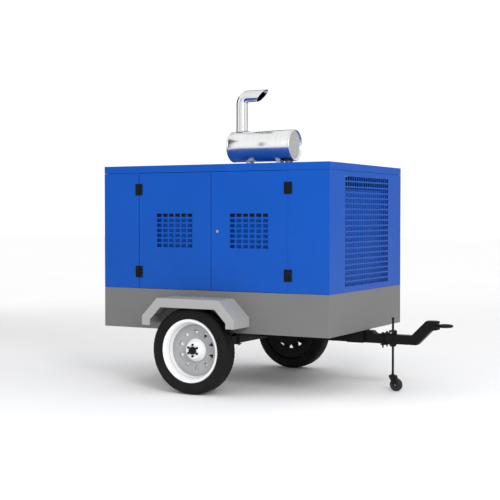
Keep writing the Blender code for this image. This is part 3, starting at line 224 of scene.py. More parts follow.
# Each look: its material slot, its material's name, colour and roughness, and what else sets it apart.
FINISHES = {
    "canopy": ("canopy_paint", "canopy_blue", (0.0014, 0.073, 0.405), 0.42, dict(
        ENAMEL, shine=0.13, mottle=0.035, patch=1.6, wear=0.25, bare=(0.06, 0.17, 0.55), dirt=0.1,
        dirt_top=1.6)),
    "base": ("base_paint", "base_grey", srgb(113, 113, 113), 0.48, dict(
        ENAMEL, shine=0.2, mottle=0.04, patch=2.0, wear=0.5, bare=(0.42, 0.43, 0.44), dirt=0.22,
        dirt_top=0.95)),
    "fender": ("fender_paint", "fender_grey", srgb(160, 161, 160), 0.46, dict(
        ENAMEL, shine=0.25, mottle=0.04, wear=0.6, bare=(0.55, 0.56, 0.57), dirt=0.3, dirt_top=0.85)),
    "chassis": ("chassis_paint", "chassis_black", BLACK, 0.46, dict(
        shine=0.13, mottle=0.15, patch=7.0, grain=330.0, bump=0.12, wear=0.6, bare=(0.07, 0.07, 0.07),
        dirt=0.07, dirt_top=0.6)),
    "rim": ("rim_paint", "rim_white", srgb(240, 241, 242), 0.3, dict(
        coat=0.2, mottle=0.03, patch=5.0, grain=420.0, bump=0.04, wear=0.3, bare=(0.45, 0.44, 0.42),
        dirt=0.16, dirt_top=0.7)),
    # The disc's grey is painted shade: it darkens the disc as if shaded inside the deep barrel. Its dust and
    # worn edges are the wheel's own.
    "disc": ("rim_paint", "disc_painted_shade_grey", srgb(160, 161, 163), 0.34, dict(
        ENAMEL, coat=0.1, mottle=0.04, patch=6.0, wear=0.3, bare=(0.42, 0.41, 0.4), dirt=0.2, dirt_top=0.7)),
    "tyre": ("tyre_rubber", "tyre_rubber", (0.007, 0.007, 0.0071), 0.66, dict(
        shine=0.12, mottle=0.16, patch=14.0, grain=520.0, bump=0.3, height=0.0005, wear=0.3,
        bare=(0.026, 0.025, 0.024), dirt=0.06, dirt_top=0.55)),
    "rubber": ("caster_rubber", "moulded_rubber", (0.011, 0.011, 0.012), 0.7, dict(
        mottle=0.12, patch=20.0, grain=600.0, bump=0.25, wear=0.3, bare=(0.04, 0.04, 0.04))),
    "polished": ("stainless", "polished_stainless", (0.84, 0.845, 0.85), 0.2, dict(
        metal=1.0, mottle=0.04, patch=4.0, grain=26.0, bump=0.05, height=0.0002, swing=0.05,
        stretch=(16.0, 0.5, 0.5))),
    "chrome": ("stainless", "chromed_pipe", (0.74, 0.745, 0.755), 0.11, dict(
        metal=1.0, patch=6.0, grain=40.0, bump=0.02, height=0.0001, swing=0.04, stretch=(1.0, 1.0, 0.2))),
    "steel": ("bright_steel", "zinc_steel", (0.42, 0.43, 0.44), 0.34, dict(
        metal=1.0, mottle=0.14, patch=30.0, grain=220.0, bump=0.12, wear=0.5, bare=(0.62, 0.62, 0.61))),
    "hot_steel": ("bright_steel", "heat_stained_steel", (0.23, 0.17, 0.13), 0.48, dict(
        metal=0.8, mottle=0.3, patch=9.0, grain=160.0, bump=0.25)),
    "engine": ("engine_paint", "engine_green", srgb(56, 74, 66), 0.42, dict(
        coat=0.2, mottle=0.08, patch=9.0, grain=170.0, bump=0.3, height=0.0006, wear=0.7,
        bare=(0.2, 0.22, 0.2), dirt=0.2, dirt_top=1.5)),
    "alternator": ("alternator_paint", "alternator_grey", srgb(88, 94, 98), 0.44, dict(
        coat=0.1, mottle=0.07, patch=8.0, grain=170.0, bump=0.28, height=0.0006, wear=0.6,
        bare=(0.3, 0.3, 0.3))),
    "alloy": ("head_alloy", "cast_alloy", (0.33, 0.335, 0.33), 0.52, dict(
        metal=0.9, mottle=0.12, patch=14.0, grain=210.0, bump=0.45, height=0.0008, wear=0.5,
        bare=(0.6, 0.6, 0.6))),
    # The core's dark bands between its ribs are painted shade.
    "core": ("radiator_core", "radiator_core", (0.022, 0.022, 0.024), 0.5, dict(
        metal=0.4, mottle=0.15, patch=10.0, grain=200.0, bump=0.9, height=0.002, ribs=("Z", 62.0))),
    "plastic": ("black_plastic", "black_plastic", (0.016, 0.016, 0.017), 0.48, dict(
        mottle=0.1, patch=12.0, grain=650.0, bump=0.25, wear=0.4, bare=(0.06, 0.06, 0.06))),
    "tank": ("tank_plastic", "tank_plastic", (0.021, 0.022, 0.024), 0.55, dict(
        mottle=0.1, patch=4.0, grain=380.0, bump=0.22, wear=0.3, bare=(0.06, 0.06, 0.06))),
    "panel": ("panel_paint", "panel_grey", srgb(196, 198, 200), 0.42, dict(
        mottle=0.03, patch=4.0, grain=500.0, bump=0.1, wear=0.3, bare=(0.4, 0.4, 0.4))),
    "stop": ("stop_plastic", "stop_red", srgb(188, 22, 20), 0.3, dict(
        coat=0.5, patch=20.0, grain=500.0, bump=0.05, wear=0.2, bare=(0.6, 0.12, 0.1))),
    "yellow": ("stop_plastic", "signal_yellow", srgb(226, 178, 24), 0.38, dict(
        coat=0.2, patch=20.0, grain=500.0, bump=0.06, wear=0.4, bare=(0.5, 0.45, 0.3))),
    "glass": ("black_plastic", "dark_glass", (0.01, 0.016, 0.018), 0.08, dict(
        coat=1.0, mottle=0.25, patch=8.0, grain=90.0, bump=0.01, swing=0.03)),
    "dial": ("panel_paint", "dial_white", srgb(225, 226, 222), 0.45, dict(
        mottle=0.03, patch=30.0, grain=300.0, bump=0.03)),
    "foam": ("black_plastic", "acoustic_foam", (0.024, 0.024, 0.026), 0.92, dict(
        mottle=0.2, patch=25.0, grain=900.0, bump=0.8, height=0.001)),
}
LOOKS = {
    look: (surface(name, colour, rough, **rest), slot)
    for look, (slot, name, colour, rough, rest) in FINISHES.items()
}


# ---- meshes -------------------------------------------------------------------------------------
PLANES = {
    "X": lambda along, u, v: Vector((along, u, v)),
    "Y": lambda along, u, v: Vector((u, along, v)),
    "Z": lambda along, u, v: Vector((u, v, along)),
}


def blocks(xs, ys, zs, solid):
    """The cells of a box grid whose middles are solid, as one closed skin."""
    bm, corners = bmesh.new(), {}
    grid = [sorted(edges) for edges in (xs, ys, zs)]
    spans = [range(len(edges) - 1) for edges in grid]

    def middle(axis, i):
        return (grid[axis][i] + grid[axis][i + 1]) / 2

    cells = {
        (i, j, k)
        for i in spans[0] for j in spans[1] for k in spans[2]
        if solid(middle(0, i), middle(1, j), middle(2, k))
    }

    def corner(key):
        if key not in corners:
            corners[key] = bm.verts.new([grid[axis][key[axis]] for axis in range(3)])
        return corners[key]

    for cell in sorted(cells):
        for axis in range(3):
            for step in (0, 1):
                beside = list(cell)
                beside[axis] += 2 * step - 1
                if tuple(beside) in cells:
                    continue
                quad = []
                for a, b in ((0, 0), (1, 0), (1, 1), (0, 1)):
                    key = list(cell)
                    key[axis] += step
                    key[(axis + 1) % 3] += a
                    key[(axis + 2) % 3] += b
                    quad.append(corner(tuple(key)))
                bm.faces.new(quad if step else quad[::-1])
    return bm


def slab(a, b):
    return blocks((a[0], b[0]), (a[1], b[1]), (a[2], b[2]), lambda x, y, z: True)


def skin_between(bm, rings):
    """Joins each ring of corners to the next."""
    for one, two in zip(rings, rings[1:]):
        for k in range(len(one)):
            bm.faces.new((one[k - 1], one[k], two[k], two[k - 1]))


def prism(outline, axis, start, end):
    put = PLANES[axis]
    bm = bmesh.new()
    rings = [[bm.verts.new(put(along, u, v)) for u, v in outline] for along in (start, end)]
    bm.faces.new(rings[0])
    bm.faces.new(rings[1][::-1])
    skin_between(bm, rings)
    return bm


def turned(profile, axis, centre, steps=64, shape=None):
    """A profile of (radius, along) turned about an axis. shape may change a radius: (turn, radius, along)."""
    put = PLANES[axis]
    bm = bmesh.new()
    rings = []
    for radius, along in profile:
        ring = []
        for k in range(steps if radius > 1e-7 else 1):
            turn = 2 * math.pi * k / steps
            r = shape(turn, radius, along) if shape else radius
            u, v = centre[0] + r * math.cos(turn), centre[1] + r * math.sin(turn)
            ring.append(bm.verts.new(put(along, u, v)))
        rings.append(ring)
    pairs = list(zip(rings, rings[1:]))
    if len(rings[0]) > 1:
        pairs.append((rings[-1], rings[0]))
    for one, two in pairs:
        for k in range(steps):
            n = (k + 1) % steps
            if len(one) == 1:
                bm.faces.new((one[0], two[k], two[n]))
            elif len(two) == 1:
                bm.faces.new((one[k], one[n], two[0]))
            else:
                bm.faces.new((one[k], one[n], two[n], two[k]))
    return bm


def disc(radius, centre, count=32, start=0.0, sweep=2 * math.pi):
    whole = abs(sweep - 2 * math.pi) < 1e-6
    turns = [start + sweep * i / (count if whole else count - 1) for i in range(count)]
    return [(centre[0] + radius * math.cos(a), centre[1] + radius * math.sin(a)) for a in turns]


def rod(axis, centre, radius, start, end, count=32, soft=0.0):
    """A round bar, with its ends softened by soft."""
    low, high = min(start, end), max(start, end)
    end = [(0.0, 0.0), (radius, 0.0)]
    if soft:
        end = [(0.0, 0.0), (radius - soft, 0.0), (radius - soft * 0.3, soft * 0.3), (radius, soft)]
    return turned(measured(low, end) + measured(high, end[::-1], -1), axis, centre, count)


def bent(corners, radius, steps=8):
    """A path through the corners, each rounded to the bend radius."""
    corners = [Vector(c) for c in corners]
    path = [corners[0]]
    for before, corner, after in zip(corners, corners[1:], corners[2:]):
        inward, onward = (before - corner).normalized(), (after - corner).normalized()
        half = inward.angle(onward) / 2
        middle = corner + (inward + onward).normalized() * (radius / math.sin(half))
        first = corner + inward * (radius / math.tan(half)) - middle
        last = corner + onward * (radius / math.tan(half)) - middle
        path += [middle + first.slerp(last, i / steps) * radius for i in range(steps + 1)]
    return path + [corners[-1]]


def tube(path, radius, sides=20, bore=0.0, closed=False, shape=None):
    """A round bar or pipe along a path. shape may move a point: (ring number, point) -> point."""
    path = [Vector(p) for p in path]
    count, side, frames = len(path), None, []
    for i, point in enumerate(path):
        before = path[i - 1] if i or closed else point
        after = path[(i + 1) % count] if i + 1 < count or closed else point
        run = (after - before).normalized()
        if side is None:
            side = run.cross(Vector((0.0, 0.0, 1.0) if abs(run.z) < 0.9 else (0.0, 1.0, 0.0)))
        side = (side - run * side.dot(run)).normalized()
        frames.append((point, side.copy(), run.cross(side)))
    bm = bmesh.new()
    skins = []
    for size in [radius] + ([bore] if bore else []):
        rings = []
        for i, (point, across, up) in enumerate(frames):
            ring = []
            for k in range(sides):
                turn = 2 * math.pi * k / sides
                spot = point + size * (across * math.cos(turn) + up * math.sin(turn))
                ring.append(bm.verts.new(shape(i, spot) if shape else spot))
            rings.append(ring)
        skin_between(bm, rings + rings[:1] if closed else rings)
        skins.append(rings)
    for end in () if closed else (0, -1):
        if not bore:
            bm.faces.new(skins[0][end])
            continue
        for k in range(sides):
            bm.faces.new((skins[0][end][k - 1], skins[0][end][k], skins[1][end][k], skins[1][end][k - 1]))
    return bm


def merged(shapes):
    whole = bmesh.new()
    for shape in shapes:
        mesh = bpy.data.meshes.new("shape")
        bmesh.ops.recalc_face_normals(shape, faces=shape.faces)
        shape.to_mesh(mesh)
        shape.free()
        whole.from_mesh(mesh)
        bpy.data.meshes.remove(mesh)
    return whole


def placed(bm, position, direction):
    turn = Vector(direction).to_track_quat("Z", "Y").to_matrix().to_4x4()
    bmesh.ops.transform(bm, matrix=Matrix.Translation(position) @ turn, verts=bm.verts)
    return bm


def hex_bolt(position, direction, size=0.008):
    """A washer under a chamfered hexagon head; size is half the width over the corners."""
    washer = ((0.0, 0.0), (1.25, 0.0), (1.35, 0.08), (1.3, 0.18), (0.0, 0.18))
    head = ((0.0, 0.18), (1.0, 0.18), (1.0, 0.75), (0.86, 0.9), (0.0, 0.9))
    shapes = [turned([(size * r, size * a) for r, a in profile], "Z", (0.0, 0.0), sides)
              for profile, sides in ((washer, 20), (head, 6))]
    return placed(merged(shapes), position, direction)


def subtract(obj, shapes):
    """Cuts the shapes out of the object's mesh, and leaves no modifier."""
    tool = bpy.data.objects.new("tool", bpy.data.meshes.new("tool"))
    bm = merged(shapes)
    bm.to_mesh(tool.data)
    bm.free()
    scene.collection.objects.link(tool)
    cutter = obj.modifiers.new("cut", "BOOLEAN")
    cutter.object, cutter.solver = tool, "EXACT"
    done = bpy.data.meshes.new_from_object(obj.evaluated_get(bpy.context.evaluated_depsgraph_get()))
    obj.modifiers.clear()
    old, obj.data = obj.data, done
    name = old.name
    bpy.data.meshes.remove(old)
    obj.data.name = name
    bpy.data.objects.remove(tool)


def round_edges(obj, bevel, segments=2):
    modifier = obj.modifiers.new("bevel", "BEVEL")
    modifier.width, modifier.segments = bevel, segments
    modifier.limit_method, modifier.angle_limit = "ANGLE", math.radians(30)
    modifier.use_clamp_overlap = True
    obj.modifiers.new("normals", "WEIGHTED_NORMAL").keep_sharp = True


def part(name, shapes, look, body="root", nodes=(), bevel=0.0, cuts=(), angle=35, segments=2):
    """A piece of the visual model, made of one or more closed shapes."""
    bm = merged(shapes if isinstance(shapes, list) else [shapes])
    mesh = bpy.data.meshes.new(name)
    bm.to_mesh(mesh)
    bm.free()
    obj = bpy.data.objects.new(name, mesh)
    scene.collection.objects.link(obj)
    material, slot = LOOKS[look]
    mesh.materials.append(material)
    if cuts:
        subtract(obj, list(cuts))
    obj.data.shade_smooth()
    if bevel:
        round_edges(obj, bevel, segments)
    else:
        obj.data.set_sharp_from_angle(angle=math.radians(angle))
    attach(obj, body)
    if nodes:
        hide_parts(*nodes)
    return obj


def keep(node, look, bevel=0.002, segments=2):
    """A CAD node that stays, with rounded edges and a finish."""
    obj = NODES[node]
    obj.data.materials.clear()
    obj.data.materials.append(LOOKS[look][0])
    obj.data.shade_smooth()
    weld = obj.modifiers.new("weld", "WELD")
    weld.merge_threshold = 0.00002
    flat = obj.modifiers.new("flat", "DECIMATE")
    flat.decimate_type, flat.angle_limit = "DISSOLVE", math.radians(1.0)
    round_edges(obj, bevel, segments)


def row(centre, count, pitch):
    return [centre + pitch * (i - (count - 1) / 2) for i in range(count)]


def spaced(first, last, count):
    return [first + (last - first) * i / (count - 1) for i in range(count)]


def span(centre, half):
    return (centre - half, centre + half)


def plate(x, y, z):
    """A box from its span along each axis."""
    return slab(*zip(x, y, z))


def measured(base, profile, way=1):
    """A profile whose places along the axis are measured from base."""
    return [(radius, base + way * along) for radius, along in profile]


def mirrored(profile):
    return [(radius, -along) for radius, along in reversed(profile)]


def hoop(inner, outer, start, end):
    """The profile of a plain ring."""
    return [(inner, start), (outer, start), (outer, end), (inner, end)]


def swung(bm, position, turn):
    """Turns a shape about the X axis and moves it into place."""
    move = Matrix.Translation(position) @ Matrix.Rotation(turn, 4, "X")
    bmesh.ops.transform(bm, matrix=move, verts=bm.verts)
    return bm


def holes(spec, across, up):
    """Cell edges round a field of equal openings, and the test for being inside one."""
    columns = row(across, spec["columns"], spec["across"])
    rows = row(up, spec["rows"], spec["up"])
    w, h = spec["width"] / 2, spec["height"] / 2
    edges = [[c + s * w for c in columns for s in (-1, 1)], [r + s * h for r in rows for s in (-1, 1)]]

    def open_at(a, b):
        return any(abs(a - c) < w for c in columns) and any(abs(b - r) < h for r in rows)

    return edges, open_at


# ---- canopy -------------------------------------------------------------------------------------
def hinge(name, body, pin, along, out, heights, upper):
    """Leaves, half knuckles and screws on one side of a hinge line."""
    pin, along, out = Vector(pin), Vector(along), Vector(out)
    plates, screws = [], []
    level, clear = -PIN, PIN + 0.002

    def plan(corners):
        return [tuple(pin + along * t + out * n) for t, n in corners]

    for z in heights:
        half, edge = HINGE_HEIGHT / 2, HINGE_WIDTH / 2
        leaf = hoop(clear, edge, level + GAP, level + HINGE_LEAF)
        web = hoop(0.0, clear + 0.004, level + 0.001, level + HINGE_LEAF - 0.0003)
        low, high = (z + 0.0005, z + half) if upper else (z - half, z - 0.0005)
        plates.append(prism(plan(leaf), "Z", z - half, z + half))
        plates.append(prism(plan(web), "Z", low + 0.001, high - 0.001))
        plates.append(rod("Z", pin, PIN, low, high, 24, 0.0012))
        for rise in (-0.03, 0.0, 0.03):
            spot = pin + along * (edge - 0.012) + out * (level + HINGE_LEAF)
            screws.append(hex_bolt((spot.x, spot.y, z + rise), (out.x, out.y, 0.0), 0.0045))
    part(f"{name}_leaves", plates, "chassis", body, bevel=0.0006)
    part(f"{name}_screws", screws, "chassis", body)


def canopy_side(side, hand):
    for end, where in ENDS:
        body = f"{where}_{hand}_door"
        free, hinged = BODY_X + end * SEAM / 2, BODY_X + end * (SPLIT - SEAM / 2)
        low, high = BASE_TOP + 0.0035, ROOF_SEAM - 0.0035
        middle = BODY_X + end * SPLIT / 2
        (across, up), is_open = holes(VENTS, middle, VENT_Z)

        def skin(x, y, z):
            if abs(y) > SIDE - SHEET:
                return not is_open(x, z)
            return min(abs(x - free), abs(x - hinged)) < SHEET or min(z - low, high - z) < SHEET

        lock = (free + end * 0.06, (low + high) / 2)
        part(
            f"door_{where}_{hand}_skin",
            blocks(
                [free, free + end * SHEET, *across, hinged - end * SHEET, hinged],
                [side * v for v in (SIDE, SIDE - SHEET, SIDE - DEPTH)],
                [low, low + SHEET, *up, high - SHEET, high],
                skin,
            ),
            "canopy", body, [f"door_{where}_{hand}"], bevel=0.0009,
            cuts=[rod("Y", lock, 0.0125, side * (SIDE - 0.01), side * (SIDE + 0.01))] if end > 0 else (),
        )
        wide, tray_low, tray_high = 0.205, VENT_Z - 0.165, VENT_Z + 0.118
        back, front = SIDE - 0.052, SIDE - SHEET - GAP
        part(
            f"door_{where}_{hand}_baffle",
            blocks(
                [middle - wide, middle - wide + 0.002, middle + wide - 0.002, middle + wide],
                [side * v for v in (back, back + 0.002, front)],
                [tray_low, tray_low + 0.002, tray_high],
                lambda x, y, z: (
                    abs(y) < back + 0.002 or abs(x - middle) > wide - 0.002 or z < tray_low + 0.002
                ),
            ),
            "canopy", body, bevel=0.0006,
        )
        part(
            f"door_{where}_{hand}_hood",
            slab((middle - wide, side * (back - 0.016), tray_high - 0.012),
                 (middle + wide, side * (back - GAP), VENT_Z + 0.26)),
            "foam", body, bevel=0.003,
        )
        foams = []
        for foam_low, foam_high in ((low + 0.03, tray_low - 0.025), (VENT_Z + 0.195, high - 0.03)):
            foams.append(egg_crate(free + end * 0.035, hinged - end * 0.035, side, foam_low, foam_high))
        part(f"door_{where}_{hand}_foam", foams, "foam", body, angle=60)
        seal_out, seal_in = SIDE - DEPTH - GAP, SIDE - DEPTH - 0.008
        part(
            f"door_{where}_{hand}_seal",
            blocks(
                [free + end * 0.001, free + end * 0.01, hinged - end * 0.01, hinged - end * 0.001],
                [side * seal_out, side * seal_in],
                [low + 0.001, low + 0.01, high - 0.01, high - 0.001],
                lambda x, y, z: min(abs(x - free), abs(x - hinged)) < 0.01 or min(z - low, high - z) < 0.01,
            ),
            "rubber", body, bevel=0.0025,
        )
        pin = (BODY_X + end * SPLIT, side * (SIDE + PIN + 0.0005))
        hinge(f"door_{where}_{hand}_hinge", body, pin, (-end, 0.0), (0.0, side), HINGE_Z, True)
        hinge(f"frame_{where}_{hand}_hinge", "root", pin, (end, 0.0), (0.0, side), HINGE_Z, False)

        seam = BODY_X + end * (SPLIT + SEAM / 2 - (0.0034 if end > 0 else 0.0))
        edge = FRONT if end > 0 else REAR
        part(
            f"corner_panel_{where}_{hand}_skin",
            blocks(
                [seam, seam + end * SHEET, edge],
                [side * v for v in (SIDE, SIDE - SHEET, SIDE - DEPTH)],
                [BASE_TOP + 0.001, ROOF_SEAM - 0.0022],
                lambda x, y, z: abs(y) > SIDE - SHEET or abs(x - seam) < SHEET,
            ),
            "canopy", "root", [f"corner_panel_{where}_{hand}"], bevel=0.0012, segments=3,
        )
        if end > 0:
            z = lock[1]
            barrel = rod("Y", lock, 0.012, side * (SIDE - 0.018), side * (SIDE + 0.002), 32, 0.001)
            depth = (side * (SIDE - 0.015), side * (SIDE - 0.011))
            cam = plate(span(lock[0], 0.007), depth, (z, z + 0.036))
            slot = plate(span(lock[0], 0.001), (side * (SIDE - 0.003), side * (SIDE + 0.004)), span(z, 0.006))
            body = f"{hand}_lock"
            part(f"door_lock_{hand}_barrel", barrel, "steel", body, [f"door_lock_{hand}"], cuts=[slot])
            part(f"door_lock_{hand}_cam", cam, "steel", body, bevel=0.001)


def egg_crate(x0, x1, side, low, high, pitch=0.03):
    """A sheet of acoustic foam with rows of soft bumps, glued inside a door."""
    nx, nz = int(abs(x1 - x0) / pitch) * 2 + 1, int((high - low) / pitch) * 2 + 1
    bm = bmesh.new()
    front, back = [], []
    for i in range(nx):
        for k in range(nz):
            x, z = x0 + (x1 - x0) * i / (nx - 1), low + (high - low) * k / (nz - 1)
            rim = i in (0, nx - 1) or k in (0, nz - 1)
            rise = 0.006 if rim else 0.006 + 0.009 * ((i + k) % 2 == 0) * (i % 2)
            front.append(bm.verts.new((x, side * (SIDE - SHEET - GAP), z)))
            back.append(bm.verts.new((x, side * (SIDE - SHEET - GAP - rise), z)))
    for sheet in (front, back):
        for i in range(nx - 1):
            for k in range(nz - 1):
                a = i * nz + k
                bm.faces.new((sheet[a], sheet[a + nz], sheet[a + nz + 1], sheet[a + 1]))
    loop = list(range(nz)) + [i * nz + nz - 1 for i in range(1, nx)]
    loop += [(nx - 1) * nz + k for k in range(nz - 2, -1, -1)] + [i * nz for i in range(nx - 2, 0, -1)]
    for a, b in zip(loop, loop[1:] + loop[:1]):
        bm.faces.new((front[a], front[b], back[b], back[a]))
    return bm


def canopy_ends():
    inner = SIDE - SHEET - GAP
    (across, up), is_open = holes(GRILLE, 0.0, GRILLE_Z)
    part(
        "front_grille",
        blocks(
            [FRONT - SHEET, FRONT], [-inner, *across, inner], [BASE_TOP + 0.001, *up, ROOF_SEAM - 0.0022],
            lambda x, y, z: not is_open(y, z),
        ),
        "canopy", nodes=["front_panel"], bevel=0.0008,
    )
    low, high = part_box("front_baffle")
    back, face, half = low.x, high.x, high.y
    part(
        "front_baffle_tray",
        blocks(
            [back, back + SHEET, face], [-half, -half + SHEET, half - SHEET, half],
            [low.z, low.z + SHEET, high.z],
            lambda x, y, z: x < back + SHEET or abs(y) > half - SHEET or z < low.z + SHEET,
        ),
        "canopy", nodes=["front_baffle"], bevel=0.001,
    )

    part(
        "roof_cap",
        blocks(
            [REAR, REAR + SHEET, FRONT - SHEET, FRONT], [-SIDE, SHEET - SIDE, SIDE - SHEET, SIDE],
            [ROOF_SEAM, ROOF_TOP - SHEET, ROOF_TOP],
            lambda x, y, z: (
                z > ROOF_TOP - SHEET or abs(y) > SIDE - SHEET or min(x - REAR, FRONT - x) < SHEET
            ),
        ),
        "canopy", nodes=["roof"], bevel=0.0028, segments=3,
        cuts=[rod("Z", (RISER_X, 0.0), 0.05, ROOF_TOP - 0.02, ROOF_TOP + 0.02, 48)],
    )
    collar = [(0.0375, 0.0004), (0.072, 0.0004), (0.072, 0.003), (0.052, 0.005), (0.042, 0.02)]
    collar.append((0.0375, 0.02))
    part("riser_collar", turned(measured(ROOF_TOP, collar), "Z", (RISER_X, 0.0), 48), "chassis")


def rear_end():
    inner = SIDE - SHEET - GAP
    box_low, box_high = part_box("control_panel")
    low, high, half = box_low.z + PANEL_RIM, box_high.z - PANEL_RIM, 0.4
    stop = middle("emergency_stop")[1:]
    pitch = LOUVRES["up"]
    (across, up), is_open = holes(LOUVRES, -0.59, LOUVRE_Z)
    (across_left, _), is_open_left = holes(LOUVRES, 0.59, LOUVRE_Z - pitch)
    levels = sorted({*up, *[z - pitch for z in up], low, high, BASE_TOP + 0.001, ROOF_SEAM - 0.0022})
    part(
        "rear_skin",
        blocks(
            [REAR, REAR + SHEET], [-inner, *across, -half, half, *across_left, inner], levels,
            lambda x, y, z: not (is_open(y, z) or is_open_left(y, z) or (abs(y) < half and low < z < high)),
        ),
        "canopy", nodes=["rear_panel"], bevel=0.0008,
        cuts=[rod("X", stop, 0.0095, REAR - 0.01, REAR + 0.01)],
    )
    part(
        "rear_baffles",
        [plate((REAR + 0.03, REAR + 0.032), span(y, 0.13), (low - 0.02, high + 0.02)) for y in (-0.6, 0.6)],
        "canopy", bevel=0.0006, cuts=[rod("X", stop, 0.013, REAR - 0.01, REAR + 0.05)],
    )
    y0, y1, z0, z1 = -half + SEAM / 2, half - SEAM, low + SEAM, high - SEAM
    window = (0.06, 0.23, low + 0.38, low + 0.56)

    def skin(x, y, z):
        if x < REAR + SHEET:
            return not (window[0] < y < window[1] and window[2] < z < window[3])
        return min(y - y0, y1 - y) < SHEET or min(z - z0, z1 - z) < SHEET

    part(
        "rear_door_skin",
        blocks(
            [REAR, REAR + SHEET, REAR + DEPTH], [y0, y0 + SHEET, *window[:2], y1 - SHEET, y1],
            [z0, z0 + SHEET, *window[2:], z1 - SHEET, z1], skin,
        ),
        "canopy", "control_door", ["rear_door"], bevel=0.001,
    )
    pane = 0.012
    part(
        "rear_door_window",
        plate((REAR + SHEET + GAP, REAR + SHEET + 0.004), (window[0] - pane, window[1] + pane),
              (window[2] - pane, window[3] + pane)),
        "glass", "control_door", bevel=0.0008,
    )
    y, z = y1 - 0.06, (z0 + z1) / 2
    part(
        "rear_door_latch",
        [plate((REAR - 0.003, REAR - GAP), span(y, 0.022), span(z, 0.06)),
         plate((REAR - 0.0065, REAR - 0.0031), span(y, 0.012), (z - 0.046, z + 0.02))],
        "chassis", "control_door", bevel=0.0012,
    )
    pin = (REAR - PIN - 0.0005, -half)
    heights = (high - 0.12, low + 0.12)
    hinge("rear_door_hinge", "control_door", pin, (0.0, 1.0), (-1.0, 0.0), heights, True)
    hinge("rear_frame_hinge", "root", pin, (0.0, -1.0), (-1.0, 0.0), heights, False)
    edge = 0.01
    part(
        "rear_door_seal",
        blocks(
            [REAR + DEPTH + GAP, REAR + DEPTH + 0.007], [y0 + 0.001, y0 + edge, y1 - edge, y1 - 0.001],
            [z0 + 0.001, z0 + edge, z1 - edge, z1 - 0.001],
            lambda x, y, z: min(y - y0, y1 - y) < edge or min(z - z0, z1 - z) < edge,
        ),
        "rubber", "control_door", bevel=0.002,
    )
    controls(low, high, REAR + 0.06 - GAP)
    emergency_stop(stop)


def meter(face, y, z):
    """A bezel, its dial, and the dial's ticks with the needle."""
    bezel = [(0.0, 0.004), (0.038, 0.004), (0.038, 0.012), (0.042, 0.012)]
    bezel += [(0.044, 0.008), (0.044, 0.0), (0.0, 0.0)]
    marks = []
    for k in range(11):
        turn = math.radians(225 - 27 * k)
        spot = (face - 0.0061, y + 0.032 * math.cos(turn), z + 0.032 * math.sin(turn))
        marks.append(swung(slab((-0.00045, -0.0007, -0.003), (0.0, 0.0007, 0.003)), spot, turn - math.pi / 2))
    marks.append(plate((face - 0.0072, face - 0.0064), span(y, 0.0008), (z - 0.006, z + 0.028)))
    marks.append(rod("X", (y, z), 0.004, face - 0.008, face - 0.0061, 16))
    dial = rod("X", (y, z), 0.0375, face - 0.006, face - 0.0042, 40)
    return turned(measured(face, bezel, -1), "X", (y, z), 40), dial, marks


def controls(low, high, face):
    key, lever = middle("key_switch")[1:], middle("breaker_lever")[1:]
    raised = (face - 0.008, face)
    y, z = 0.145, low + 0.545
    bezels, dials, marks = [plate((face - 0.01, face), span(y, 0.105), span(z, 0.062))], [], []
    glass = plate((face - 0.0115, face - 0.0102), span(y, 0.06), (z - 0.028, z + 0.045))
    buttons = [rod("X", (across, z - 0.045), 0.0075, face - 0.0135, face - 0.0102, 20, 0.001)
               for across in row(y, 6, 0.03)]
    for y in (-0.255, -0.155, -0.055):
        for z in (low + 0.56, low + 0.44):
            bezel, dial, ticks = meter(face, y, z)
            bezels.append(bezel)
            dials.append(dial)
            marks += ticks
    part("meter_bezels", bezels, "plastic", bevel=0.001)
    part("controller_glass", glass, "glass", bevel=0.0005)
    part("controller_buttons", buttons, "rubber")
    part("meter_dials", dials, "dial")
    part("meter_needles", marks, "plastic", angle=30)
    lamp = measured(face, [(0.0, 0.014), (0.006, 0.0125), (0.009, 0.008), (0.009, 0.0), (0.0, 0.0)], -1)
    part("fault_lamps", [turned(lamp, "X", (y, low + 0.35), 24) for y in (-0.255, -0.205, -0.155)], "stop")
    surround = measured(face, [(0.0146, 0.003), (0.022, 0.003), (0.024, 0.0), (0.0146, 0.0)], -1)
    part("key_surround", turned(surround, "X", key, 32), "plastic")
    y, z = lever
    sides = ((y - 0.08, y - 0.033), (y + 0.033, y + 0.08))
    ends = ((z + 0.045, z + 0.085), (z - 0.085, z - 0.045))
    case = [plate(raised, across, span(z, 0.085)) for across in sides]
    case += [plate(raised, span(y, 0.0328), up) for up in ends]
    part("breaker_case", case, "plastic", bevel=0.0012)
    sockets, lids, screws = [], [], []
    z = low + 0.13
    for y in (0.06, 0.16, 0.26):
        sockets.append(plate((face - 0.01, face), span(y, 0.038), span(z, 0.04)))
        lids.append(rod("X", (y, z), 0.031, face - 0.024, face - 0.0103, 36, 0.003))
        lids.append(plate((face - 0.02, face - 0.0103), span(y, 0.012), (z + 0.028, z + 0.038)))
        for corner in ((-1, -1), (-1, 1), (1, -1), (1, 1)):
            spot = (face - 0.01, y + corner[0] * 0.031, z + corner[1] * 0.033)
            screws.append(hex_bolt(spot, (-1, 0, 0), 0.0035))
    part("socket_flanges", sockets, "plastic", bevel=0.0015)
    part("socket_lids", lids, "plastic")
    for y in (-0.385, 0.385):
        for z in (low + 0.02, (low + high) / 2, high - 0.02):
            screws.append(hex_bolt((face, y, z), (-1, 0, 0), 0.005))
    part("panel_screws", screws, "steel")


def emergency_stop(centre):
    mushroom = [
        (0.0, 0.03), (0.008, 0.0297), (0.015, 0.0285), (0.0192, 0.0255), (0.02, 0.021), (0.02, 0.015),
        (0.0185, 0.0135), (0.009, 0.012), (0.009, -0.03), (0.0, -0.03),
    ]
    ring = [(0.0096, GAP), (0.034, GAP), (0.034, 0.002), (0.031, 0.0035), (0.0096, 0.0035)]
    mushroom, ring = measured(REAR, mushroom, -1), measured(REAR, ring, -1)
    part("stop_mushroom", turned(mushroom, "X", centre, 48), "stop", "stop_button", ["emergency_stop"])
    part("stop_ring", turned(ring, "X", centre, 48), "yellow")


